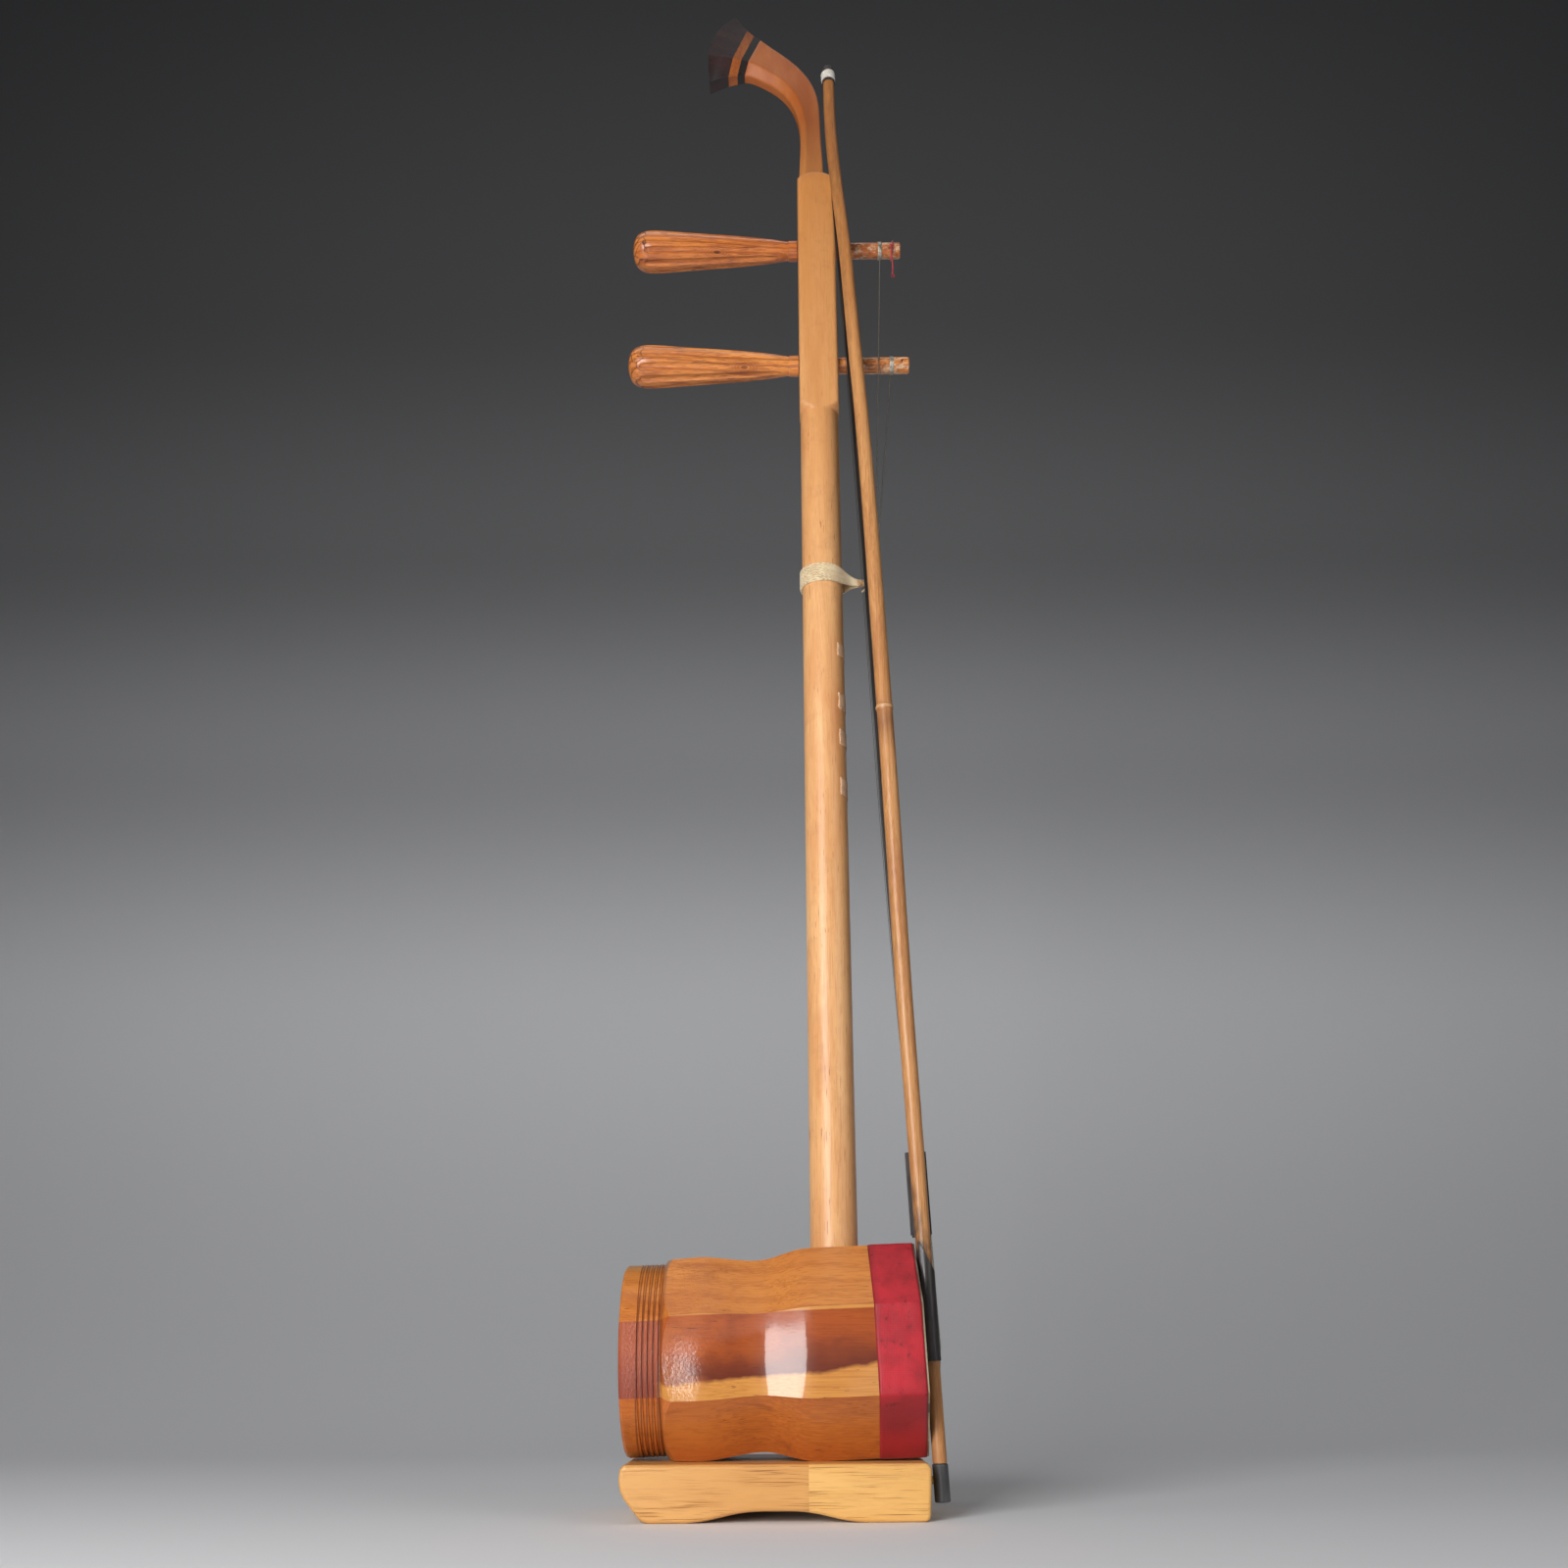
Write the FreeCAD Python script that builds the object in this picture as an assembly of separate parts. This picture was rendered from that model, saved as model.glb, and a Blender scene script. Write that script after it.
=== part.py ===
import FreeCAD, Part
import math
import os

os.makedirs("parts", exist_ok=True)

# Erhu: a two-string spike fiddle with its bow. Millimetres.
# +Z runs up the neck, +X points to the skin face, the bow hangs on the -Y side.
# Origin: on the neck's axis, in the plane that the base stands on.

V = FreeCAD.Vector
X_AXIS = V(1, 0, 0)
Y_AXIS = V(0, 1, 0)
Z_AXIS = V(0, 0, 1)

# ---- Driving dimensions -------------------------------------------------------------

# Fits
running_clearance = 0.05      # radial, for pieces that turn or slide in a bore
glue_clearance = 0.02         # radial, for pieces glued or tied in place
free_gap = 0.3                # between moving pieces that never touch

# Base
base_height = 20.0
base_width = 60.0
base_front = 34.8
base_short_of_box = 1.0       # the base's rear end stops this far inside the box's
base_seam = -12.0             # glue line between the rear and front blocks
base_edge_radius = 1.5
arch_rise = 3.9               # hollow under the base
arch_back = -54.0
arch_front = 5.0

# Sound box: eight staves round an axis that leans up towards the skin
box_tilt = 2.0                # degrees
box_rest_gap = 0.05           # box above base, the thickness of the glue
stave_count = 8
box_back = -85.0
box_wood_front = 33.2
front_apothem = 39.4          # straight front part of a facet
waist_apothem = 35.6
shoulder_lift = 0.28          # the bulge and the shoulder clear the base by this much
straight_from = -8.0
waist_x = -28.0
bulge_share = 0.694           # where the bulge is, from the waist to the shoulder
shoulder_length = 21.0        # from the rear end to where the facets are whole
stave_inner_apothem = 29.5
turned_step = 1.0             # the lathe-turned rear end is this far below the facets
groove_count = 5
groove_pitch = 2.1
groove_depth = 0.55
groove_width = 0.9
groove_inset = 7.4            # from the rear end to the middle of the first groove

# Skin, its cloth band and the window at the back
skin_rabbet = 0.5             # wood cut back under the skin's skirt
skin_thickness = 0.4
skin_skirt = 12.0
band_thickness = 0.55
band_back = 14.4
band_front_margin = 0.8
window_thickness = 3.0
window_radius = 32.9
window_hole_radius = 3.1
window_hole_pitch = 9.0

# Neck
neck_radius = 10.0
tenon_radius = 7.0
tenon_depth = 12.0
peg_block_proud = 0.3         # squared peg part: front and back stand out this far
peg_block_flat = 0.1          # and its side flats are this far inside the round
peg_block_corner = 2.0
peg_block_bottom = 517.0
peg_block_top = 676.0
peg_block_runout = 7.0        # length of the rounded run-out at each end

# Pegs
upper_peg_z = 628.3
lower_peg_z = 550.3
peg_shaft_radius = 4.5
peg_collar_step = 1.1
peg_handle_radius = 11.2
peg_back_x = -101.8
peg_collar_out = 1.9          # the collar's seat stands this far off the squared part
upper_peg_front = 46.5
lower_peg_front = 48.5
flute_count = 10
flute_radius = 2.6
flute_depth = 0.75

# Strings
string_radius = 0.25
string_gap_at_tie = 2.8       # spacing of the two strings at the neck tie
string_gap_at_bridge = 8.0
upper_winding_x = 35.0
lower_winding_x = 39.0
winding_turns = 4

# Neck tie (thread loop that holds the strings off the neck)
tie_z = 418.0
tie_height = 10.0
tie_thread = 1.1
tie_binding_out = 7.5         # from the neck's surface
tie_binding_length = 3.5
tie_reach = 16.7              # from the neck's surface to the strings
tie_droop = 1.0               # its gathered end hangs this far below its middle

# Finger position marks
mark_heights = [376.5, 349.0, 330.0, 304.8]
mark_lengths = [8.0, 9.0, 8.5, 9.5]
mark_thickness = 0.25

# Bridge and string anchor
bridge_height = 8.5
bridge_length = 23.0
bridge_thickness = 5.0
anchor_z = 12.0
anchor_radius = 1.5
anchor_reach = 6.5            # how far the pin stands out of the base
anchor_depth = 12.0
anchor_string_back = 2.5      # the strings' loops sit this far behind the pin's head

# Screw that holds the base to the neck
screw_shank = 1.8
screw_head = 3.6
screw_head_low = 0.8
screw_head_top = 3.4
screw_past_base = 4.0

# Bow
bow_foot_out = 5.6            # the stick's axis stands this far in front of the skin
bow_foot_z = 5.8              # lower end of the button
bow_bridge_gap = 0.5          # between the frog and the end of the bridge
button_radius = 3.05
button_length = 13.4
screw_radius = 0.9
screw_length = 78.0
eyelet_radius = 1.6
eyelet_half_length = 3.0
eyelet_stem = 1.0
eyelet_z = 68.0               # along the stick from the foot
frog_inner_y = 3.5            # frog face that lies along the stick, from the stick's axis
frog_depth = 3.5
tongue_low = 1.2              # the frog's tongue, from its inner face
tongue_high = 3.4
ferrule_wall = 0.45
frog_width = 5.2
frog_low = 50.0               # along the stick from the foot
clip_wall = 0.6               # open sleeve that holds the frog to the stick
clip_open = 2.2               # the sleeve is cut away past this, on the skin's side
clip_high = 95.0              # where its sloping upper end starts, on the skin's side
clip_slope = 12.0             # how far that end drops across the stick
tongue_width = 7.6
tongue_length = 15.0
ferrule_length = 34.0
frog_travel = 2.4             # each way, along the stick
tip_pieces = [                # stacked on the stick's end: name, length, radius
    ("tip_collar", 1.6, 3.6),
    ("tip_binding", 6.4, 4.1),
    ("tip_stub", 3.4, 3.0),
]
hair_width = 5.0
hair_thickness = 0.9

# Stations along the stick: distance from the foot, sideways offset from the
# straight lower line, radius. The stick is a natural cane, so it wanders.
stick_stations = [
    (13.6, 0.0, 2.8),
    (150.0, 0.0, 3.4),
    (200.0, -0.1, 3.6),
    (262.0, 0.4, 3.75),
    (350.0, 0.9, 3.75),
    (425.0, 1.0, 3.7),
    (500.0, 0.5, 3.6),
    (556.0, -0.7, 3.5),
    (610.0, -1.8, 3.4),
    (664.0, -4.2, 3.3),
    (706.0, -4.6, 3.2),
    (727.0, -4.0, 3.1),
]

# Head: front and back outline of each section, and its half-thickness in Y
head_sections = [
    (4.6, 664.0, -9.0, 664.0, 7.4),
    (4.4, 681.0, -9.0, 681.0, 7.4),
    (3.7, 702.0, -8.2, 701.0, 6.9),
    (3.2, 721.0, -8.7, 718.0, 6.6),
    (1.9, 739.5, -13.4, 734.9, 6.4),
    (-4.0, 756.0, -22.4, 747.0, 6.3),
    (-15.5, 770.7, -32.5, 754.3, 6.3),
    (-31.3, 785.6, -40.5, 757.1, 6.5),
]
head_end_front = V(-46.5, 0, 802.5)
head_end_back = V(-61.2, 0, 750.3)
head_end_half_y = 11.0
ring_share = 0.22             # share of the flare that is the dark ring
band_share = 0.48             # share where the light band ends
head_end_curve = 62.0         # radius of the curved end face
head_end_bulge = 5.6          # the curved face stands this far past the end section


# ---- Helpers ------------------------------------------------------------------------

def save(name, shape):
    shape = shape.removeSplitter()
    if not shape.isValid():
        raise ValueError(name + " is not valid")
    shape.exportStep("parts/" + name + ".step")
    print(name, len(shape.Solids), round(shape.Volume, 2))


def box(x0, x1, y0, y1, z0, z1):
    return Part.makeBox(x1 - x0, y1 - y0, z1 - z0, V(x0, y0, z0))


def cylinder(start, end, radius):
    axis = end.sub(start)
    return Part.makeCylinder(radius, axis.Length, start, axis)


def rounded_wire(points, radii, closed):
    """Straight runs joined by tangent arcs, one radius for each inner corner."""
    count = len(points)
    corners = range(count) if closed else range(1, count - 1)
    entry = {}
    exit_point = {}
    arcs = {}
    for i in corners:
        here = points[i]
        before = points[i - 1].sub(here).normalize()
        after = points[(i + 1) % count].sub(here).normalize()
        turn = math.pi - before.getAngle(after)
        reach = radii[i] * math.tan(turn / 2)
        bisector = before.add(after).normalize()
        to_centre = radii[i] / math.cos(turn / 2)
        middle = here.add(bisector * (to_centre - radii[i]))
        entry[i] = here.add(before * reach)
        exit_point[i] = here.add(after * reach)
        arcs[i] = Part.Arc(entry[i], middle, exit_point[i]).toShape()
    edges = []
    for i in range(count if closed else count - 1):
        j = (i + 1) % count
        start = exit_point.get(i, points[i])
        end = entry.get(j, points[j])
        edges.append(Part.LineSegment(start, end).toShape())
        if j in arcs:
            edges.append(arcs[j])
    return Part.Wire(edges)


def tube(path, radius):
    """Solid round tube along a wire of straight runs and tangent arcs."""
    first = path.Edges[0]
    start = first.valueAt(first.FirstParameter)
    direction = first.tangentAt(first.FirstParameter)
    circle = Part.Wire(Part.makeCircle(radius, start, direction))
    return path.makePipeShell([circle], True, False)


def lathe(points, base_point, axis):
    """Solid of revolution from a closed outline that lies in the XZ plane."""
    face = Part.Face(Part.makePolygon(points + [points[0]]))
    return face.revolve(base_point, axis, 360)


def octagon_prism(apothem, x0, x1):
    corner = apothem / math.cos(math.pi / 8)
    points = []
    for i in range(9):
        angle = math.pi / 8 + i * math.pi / 4
        points.append(V(x0, corner * math.cos(angle), corner * math.sin(angle)))
    return Part.Face(Part.makePolygon(points)).extrude(V(x1 - x0, 0, 0))


def place_in_box(shape):
    """Move a piece from the sound box's own frame to its leaning place."""
    placed = shape.copy()
    placed.rotate(V(0, 0, 0), Y_AXIS, -box_tilt)
    placed.translate(V(0, 0, box_axis_z))
    return placed


def box_point(x, y, z):
    point = FreeCAD.Rotation(Y_AXIS, -box_tilt).multVec(V(x, y, z))
    return point.add(V(0, 0, box_axis_z))


def place_on_bow(shape):
    """Move a piece from the bow's own frame (stick up Z from the foot)."""
    placed = shape.copy()
    placed.rotate(V(0, 0, 0), Y_AXIS, bow_lean)
    placed.translate(bow_foot)
    return placed


# ---- Values worked out from the driving dimensions ----------------------------------

tilt = math.radians(box_tilt)
base_back = box_back + base_short_of_box
groove_start = box_back + groove_inset
shoulder_x = box_back + shoulder_length
box_axis_z = (base_height + box_rest_gap + front_apothem * math.cos(tilt)
              - straight_from * math.sin(tilt))
bulge_x = waist_x + (shoulder_x - waist_x) * bulge_share
bulge_apothem, shoulder_apothem = [
    (box_axis_z + x * math.sin(tilt) - base_height - shoulder_lift) / math.cos(tilt)
    for x in (bulge_x, shoulder_x)]
turned_radius = shoulder_apothem - turned_step
skin_front = box_wood_front + skin_thickness
skin_apothem = front_apothem - skin_rabbet + skin_thickness
neck_hole_radius = neck_radius + running_clearance
peg_block_half_x = neck_radius + peg_block_proud
peg_block_half_y = neck_radius - peg_block_flat
peg_collar_radius = peg_shaft_radius + peg_collar_step
peg_collar_x = -peg_block_half_x - peg_collar_out
tie_binding_x = neck_radius + tie_binding_out
tie_string_x = neck_radius + tie_reach
tie_end_z = tie_z - tie_droop
peg_hole_radius = peg_shaft_radius + running_clearance
anchor_x = base_front + anchor_reach - anchor_string_back
anchor_root = base_front - anchor_depth
screw_reach = base_height + screw_past_base


def stick_at(along, column):
    """One column of stick_stations at a distance from the foot."""
    for low, high in zip(stick_stations[:-1], stick_stations[1:]):
        if along <= high[0]:
            share = max(0.0, (along - low[0]) / (high[0] - low[0]))
            return low[column] + (high[column] - low[column]) * share
    return stick_stations[-1][column]


# The bow's foot stands in front of the skin, and its stick clears the skin's top edge
box_top = FreeCAD.Rotation(Y_AXIS, -box_tilt).multVec(V(skin_front, 0, skin_apothem))
box_top = box_top.add(V(0, 0, box_axis_z))
bow_y = -(bridge_length / 2 + bow_bridge_gap + frog_inner_y + frog_depth)
bow_foot = V(skin_front + bow_foot_out, bow_y, bow_foot_z)
bow_rise = box_top.z - bow_foot_z
bow_lean = -math.degrees(math.atan2(
    bow_foot.x - box_top.x - stick_at(bow_rise, 2) - free_gap, bow_rise))
ferrule_low = bow_rise + frog_travel + free_gap
frog_high = ferrule_low + tongue_length
ferrule_high = ferrule_low + ferrule_length


# ---- Base ---------------------------------------------------------------------------

def make_base():
    half = base_width / 2
    corners = [
        (base_back + 0.5, base_height, 2.6),
        (base_back - 0.3, base_height * 0.55, 12.0),
        (base_back + 9.5, 0.0, 6.0),
        (arch_back, 0.0, 60.0),
        (arch_back + 18.0, arch_rise, 60.0),
        (arch_front - 18.0, arch_rise, 60.0),
        (arch_front, 0.0, 60.0),
        (base_front - 1.2, 0.0, 2.6),
        (base_front, base_height, 2.6),
    ]
    points = [V(x, -half, z) for x, z, _ in corners]
    radii = [r for _, _, r in corners]
    block = Part.Face(rounded_wire(points, radii, True)).extrude(V(0, base_width, 0))
    rims = [e for e in block.Edges if abs(abs(e.CenterOfMass.y) - half) < 0.001]
    block = block.makeFillet(base_edge_radius, rims)
    tenon_hole = cylinder(V(0, 0, base_height - tenon_depth), V(0, 0, base_height + 1),
                          tenon_radius + glue_clearance)
    screw_hole = cylinder(V(0, 0, -1), V(0, 0, base_height), screw_shank + glue_clearance)
    head_hole = cylinder(V(0, 0, -1), V(0, 0, screw_head_top), screw_head + 0.3)
    pin_hole = cylinder(V(anchor_root, 0, anchor_z), V(base_front + 5, 0, anchor_z),
                        anchor_radius + glue_clearance)
    block = block.cut(tenon_hole).cut(screw_hole).cut(head_hole).cut(pin_hole)
    rear = block.common(box(base_back - 5, base_seam, -half, half, -1, base_height + 1))
    front = block.common(box(base_seam, base_front + 5, -half, half, -1, base_height + 1))
    return rear, front


def make_base_screw():
    head = cylinder(V(0, 0, screw_head_low), V(0, 0, screw_head_top), screw_head)
    slot = box(-screw_head, screw_head, -0.5, 0.5, 0, screw_head_low + 1.0)
    shank = cylinder(V(0, 0, screw_head_top), V(0, 0, screw_reach), screw_shank)
    return head.cut(slot).fuse(shank)


base_rear, base_front_block = make_base()
save("base_rear", base_rear)
save("base_front", base_front_block)
save("base_screw", make_base_screw())


# ---- Sound box ----------------------------------------------------------------------

def lathe_envelope():
    """What the lathe leaves of the octagon: a round grooved rear end and a shoulder."""
    outline = [V(box_back, 0, 0), V(box_back, 0, turned_radius - 1.2),
               V(box_back + 0.4, 0, turned_radius - 0.4),
               V(box_back + 1.3, 0, turned_radius)]
    for i in range(groove_count):
        middle = groove_start + i * groove_pitch
        outline.append(V(middle - groove_width / 2, 0, turned_radius))
        outline.append(V(middle - groove_width / 5, 0, turned_radius - groove_depth))
        outline.append(V(middle + groove_width / 5, 0, turned_radius - groove_depth))
        outline.append(V(middle + groove_width / 2, 0, turned_radius))
    cove = groove_start + (groove_count - 1) * groove_pitch + groove_width / 2
    outline += [V(cove + 0.8, 0, turned_radius + 1.1), V(cove + 2.2, 0, turned_radius + 2.5),
                V(cove + 4.1, 0, turned_radius + 4.1), V(cove + 8.0, 0, turned_radius + 6.2),
                V(box_wood_front, 0, front_apothem * 1.15), V(box_wood_front, 0, 0)]
    return lathe(outline, V(0, 0, 0), X_AXIS)


def make_master_stave():
    """The top stave: outer face along Z, cut to its wedge."""
    curve = Part.BSplineCurve()
    curve.interpolate(
        Points=[V(straight_from, 0, front_apothem), V(waist_x, 0, waist_apothem),
                V(bulge_x, 0, bulge_apothem), V(shoulder_x, 0, shoulder_apothem)],
        InitialTangent=V(-1, 0, 0), FinalTangent=V(-1, 0, -0.02))
    around = [(shoulder_x, shoulder_apothem), (box_back, shoulder_apothem),
              (box_back, stave_inner_apothem), (box_wood_front, stave_inner_apothem),
              (box_wood_front, front_apothem - skin_rabbet),
              (band_back, front_apothem - skin_rabbet), (band_back, front_apothem),
              (straight_from, front_apothem)]
    corners = [V(x, 0, z) for x, z in around]
    edges = [curve.toShape()]
    edges += [Part.LineSegment(a, b).toShape() for a, b in zip(corners[:-1], corners[1:])]
    face = Part.Face(Part.Wire(edges))
    face.translate(V(0, -front_apothem, 0))
    slab = face.extrude(V(0, 2 * front_apothem, 0))
    reach = front_apothem * 1.3
    side = reach * math.tan(math.pi / stave_count)
    wedge_outline = [V(box_back - 1, 0, 0), V(box_back - 1, -side, reach),
                     V(box_back - 1, side, reach), V(box_back - 1, 0, 0)]
    wedge = Part.Face(Part.makePolygon(wedge_outline)).extrude(
        V(box_wood_front - box_back + 2, 0, 0))
    rebate = cylinder(V(box_back - 1, 0, 0), V(box_back + window_thickness, 0, 0),
                      window_radius + glue_clearance)
    return slab.common(wedge).common(lathe_envelope()).cut(rebate)


neck_hole = cylinder(V(0, 0, 0), V(0, 0, base_height + 200), neck_hole_radius)
master_stave = make_master_stave()
for index in range(stave_count):
    stave = master_stave.copy()
    stave.rotate(V(0, 0, 0), X_AXIS, index * 360.0 / stave_count)
    stave = place_in_box(stave)
    if index in (0, stave_count // 2):
        stave = stave.cut(neck_hole)
    save("stave_%d" % (index + 1), stave)

skin = octagon_prism(skin_apothem, box_wood_front - skin_skirt, skin_front)
skin = skin.makeFillet(0.3, [e for e in skin.Edges if abs(e.CenterOfMass.x - skin_front) < 0.01])
skin = skin.cut(octagon_prism(skin_apothem - skin_thickness + glue_clearance,
                              box_wood_front - skin_skirt - 1, box_wood_front + glue_clearance))
save("snakeskin", place_in_box(skin))

cloth_inner = skin_apothem + glue_clearance
cloth = octagon_prism(cloth_inner + band_thickness, band_back + 0.1, skin_front - band_front_margin)
cloth = cloth.cut(octagon_prism(cloth_inner, band_back, skin_front))
save("skin_band", place_in_box(cloth))


def make_sound_window():
    """Pierced disc in the rear opening: round holes on a hexagonal pattern."""
    disc = cylinder(V(box_back, 0, 0), V(box_back + window_thickness, 0, 0), window_radius)
    open_radius = stave_inner_apothem - window_hole_radius - 2.0
    holes = []
    for row in range(-3, 4):
        for column in range(-4, 5):
            y = (column + 0.5 * (row % 2)) * window_hole_pitch
            z = row * window_hole_pitch * math.sqrt(3) / 2
            if math.hypot(y, z) > open_radius:
                continue
            holes.append(cylinder(V(box_back - 1, y, z),
                                  V(box_back + window_thickness + 1, y, z),
                                  window_hole_radius))
    return disc.cut(holes)


save("sound_window", place_in_box(make_sound_window()))


# ---- Bridge and string anchor -------------------------------------------------------

def make_bridge():
    """Arched bridge that stands on the middle of the skin, feet on the skin."""
    foot = skin_front + glue_clearance
    top = foot + bridge_height
    half = bridge_length / 2
    outline = [V(foot, -half, 0), V(foot, -half + 6, 0), V(foot + 2.6, -half + 8.5, 0),
               V(foot + 2.6, half - 8.5, 0), V(foot, half - 6, 0), V(foot, half, 0),
               V(foot + 2.4, half - 0.8, 0), V(foot + 4.2, 6.8, 0), V(top, 5.8, 0),
               V(top, -5.8, 0), V(foot + 4.2, -6.8, 0), V(foot + 2.4, -half + 0.8, 0)]
    face = Part.Face(Part.makePolygon(outline + [outline[0]]))
    face.translate(V(0, 0, -bridge_thickness / 2))
    body = face.extrude(V(0, 0, bridge_thickness))
    for side in (-1, 1):
        y = side * string_gap_at_bridge / 2
        groove = cylinder(V(top, y, -bridge_thickness), V(top, y, bridge_thickness),
                          string_radius + 0.25)
        body = body.cut(groove)
    return body


save("bridge", place_in_box(make_bridge()))

anchor_head_x = base_front + anchor_reach
anchor_pin = cylinder(V(anchor_root, 0, anchor_z), V(anchor_head_x, 0, anchor_z), anchor_radius)
anchor_head = cylinder(V(anchor_head_x, 0, anchor_z), V(anchor_head_x + 1.6, 0, anchor_z), 2.6)
save("string_anchor", anchor_pin.fuse(anchor_head))


# ---- Neck and head ------------------------------------------------------------------

def head_section(front, back, half_y):
    """Six-sided section: narrow front and back edges, a ridge low on each side."""
    middle = front.add(back) * 0.5
    along = front.sub(back) * 0.5
    shape = [(1.0, 0.42), (-0.5, 1.0), (-1.0, 0.42)]
    points = [middle.add(along * u).add(Y_AXIS * (v * half_y)) for u, v in shape]
    points += [middle.add(along * u).sub(Y_AXIS * (v * half_y)) for u, v in reversed(shape)]
    return Part.makePolygon(points + [points[0]])


def flare_section(share):
    """Section in the flared end: 0 at the neck wood, 1 at the end face."""
    front_x, front_z, back_x, back_z, half_y = head_sections[-1]
    front = V(front_x, 0, front_z)
    back = V(back_x, 0, back_z)
    front = front.add(head_end_front.sub(front) * share)
    back = back.add(head_end_back.sub(back) * share)
    hollow = 1.6 * math.sin(math.pi * min(share, 1.0))
    outward = front.sub(back).normalize()
    half = half_y + (head_end_half_y - half_y) * share
    return head_section(front.sub(outward * hollow), back.add(outward * hollow), half)


def make_neck():
    shaft = cylinder(V(0, 0, base_height + glue_clearance), V(0, 0, peg_block_bottom + 6),
                     neck_radius)
    tenon = cylinder(V(0, 0, base_height - tenon_depth + glue_clearance),
                     V(0, 0, base_height + 1), tenon_radius)
    block = box(-peg_block_half_x, peg_block_half_x, -peg_block_half_y, peg_block_half_y,
                peg_block_bottom, peg_block_top)
    upright = [e for e in block.Edges if e.Length > 0.9 * (peg_block_top - peg_block_bottom)]
    block = block.makeFillet(peg_block_corner, upright)
    run = peg_block_runout
    rounded = []
    for share in (0.0, 0.08, 0.2, 0.4, 0.7, 1.0):
        flat = peg_block_half_x * math.sqrt(1 - (1 - share) ** 2)
        rounded.append((share * run, max(math.hypot(flat, peg_block_half_y), neck_radius)))
    outline = [V(0, 0, peg_block_bottom), V(neck_radius - 0.3, 0, peg_block_bottom)]
    outline += [V(radius, 0, peg_block_bottom + rise) for rise, radius in rounded]
    outline += [V(radius, 0, peg_block_top - rise) for rise, radius in reversed(rounded)]
    outline += [V(0, 0, peg_block_top)]
    block = block.common(lathe(outline, V(0, 0, 0), Z_AXIS))
    sections = [head_section(V(fx, 0, fz), V(bx, 0, bz), half_y)
                for fx, fz, bx, bz, half_y in head_sections]
    head = Part.makeLoft(sections, True, False)
    body = shaft.fuse(tenon).fuse(block).fuse(head)
    for z in (upper_peg_z, lower_peg_z):
        body = body.cut(cylinder(V(-30, 0, z), V(30, 0, z), peg_hole_radius))
        body = body.cut(cylinder(V(peg_collar_x - 2, 0, z), V(-peg_block_half_x + 0.8, 0, z),
                                 peg_collar_radius + free_gap))
    screw_hole = cylinder(V(0, 0, 0), V(0, 0, screw_reach + 0.5), screw_shank + glue_clearance)
    return body.cut(screw_hole)


save("neck", make_neck())


def flare_piece(shares):
    return Part.makeLoft([flare_section(s) for s in shares], True, False)


save("head_ring", flare_piece([0.0, ring_share / 2, ring_share]))
save("head_band", flare_piece([ring_share, (ring_share + band_share) / 2, band_share]))
end_middle = head_end_front.add(head_end_back) * 0.5
first_middle = V((head_sections[-1][0] + head_sections[-1][2]) / 2, 0,
                 (head_sections[-1][1] + head_sections[-1][3]) / 2)
end_normal = end_middle.sub(first_middle).normalize()
curve_centre = end_middle.sub(end_normal * (head_end_curve - head_end_bulge))
end_drum = cylinder(curve_centre.sub(Y_AXIS * 60), curve_centre.add(Y_AXIS * 60), head_end_curve)
cap_shares = [band_share, 0.65, 0.82, 1.0, 1.2, 1.4]
save("head_cap", flare_piece(cap_shares).common(end_drum))


# ---- Pegs ---------------------------------------------------------------------------

def make_peg(z, front_x):
    """Turned peg along X: domed fluted handle at the back, plain shaft in front."""
    big = peg_handle_radius
    profile = [V(peg_back_x, 0, 0), V(peg_back_x + 0.5, 0, big * 0.42),
               V(peg_back_x + 2.0, 0, big * 0.72), V(peg_back_x + 4.8, 0, big * 0.91),
               V(peg_back_x + 8.0, 0, big * 0.985), V(peg_back_x + 11.0, 0, big),
               V(peg_back_x + 24.0, 0, big * 0.94), V(peg_collar_x - 12.0, 0, big * 0.56),
               V(peg_collar_x - 3.6, 0, big * 0.46)]
    curve = Part.BSplineCurve()
    curve.interpolate(profile)
    neck_end = profile[-1]
    rest = [neck_end, V(peg_collar_x - 3.2, 0, peg_collar_radius),
            V(peg_collar_x + 1.4, 0, peg_collar_radius), V(peg_collar_x + 1.4, 0, peg_shaft_radius),
            V(front_x - 0.6, 0, peg_shaft_radius), V(front_x, 0, peg_shaft_radius - 0.6),
            V(front_x, 0, 0), profile[0]]
    edges = [curve.toShape()]
    edges += [Part.LineSegment(a, b).toShape() for a, b in zip(rest[:-1], rest[1:])]
    peg = Part.Face(Part.Wire(edges)).revolve(V(0, 0, 0), X_AXIS, 360)
    rear = V(peg_back_x + 8.0, 0, big * 0.985 + flute_radius - flute_depth)
    fore = V(peg_collar_x - 9.0, 0, big * 0.53 + flute_radius - flute_depth * 0.3)
    cutter = cylinder(rear, fore, flute_radius).fuse(Part.makeSphere(flute_radius, rear))
    flutes = []
    for i in range(flute_count):
        flute = cutter.copy()
        flute.rotate(V(0, 0, 0), X_AXIS, (i + 0.5) * 360.0 / flute_count)
        flutes.append(flute)
    peg = peg.cut(flutes)
    string_hole_x = front_x - 4.0
    peg = peg.cut(cylinder(V(string_hole_x, -10, 0), V(string_hole_x, 10, 0), 0.6))
    peg.translate(V(0, 0, z))
    return peg


def make_winding(z, x):
    """Turns of string side by side on a peg shaft."""
    pitch = 2 * string_radius + 0.1
    ring_radius = peg_shaft_radius + string_radius + glue_clearance
    turns = []
    for i in range(winding_turns):
        centre = V(x + (i - (winding_turns - 1) / 2) * pitch, 0, z)
        turns.append(Part.makeTorus(ring_radius, string_radius, centre, X_AXIS))
    return Part.makeCompound(turns)


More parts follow.
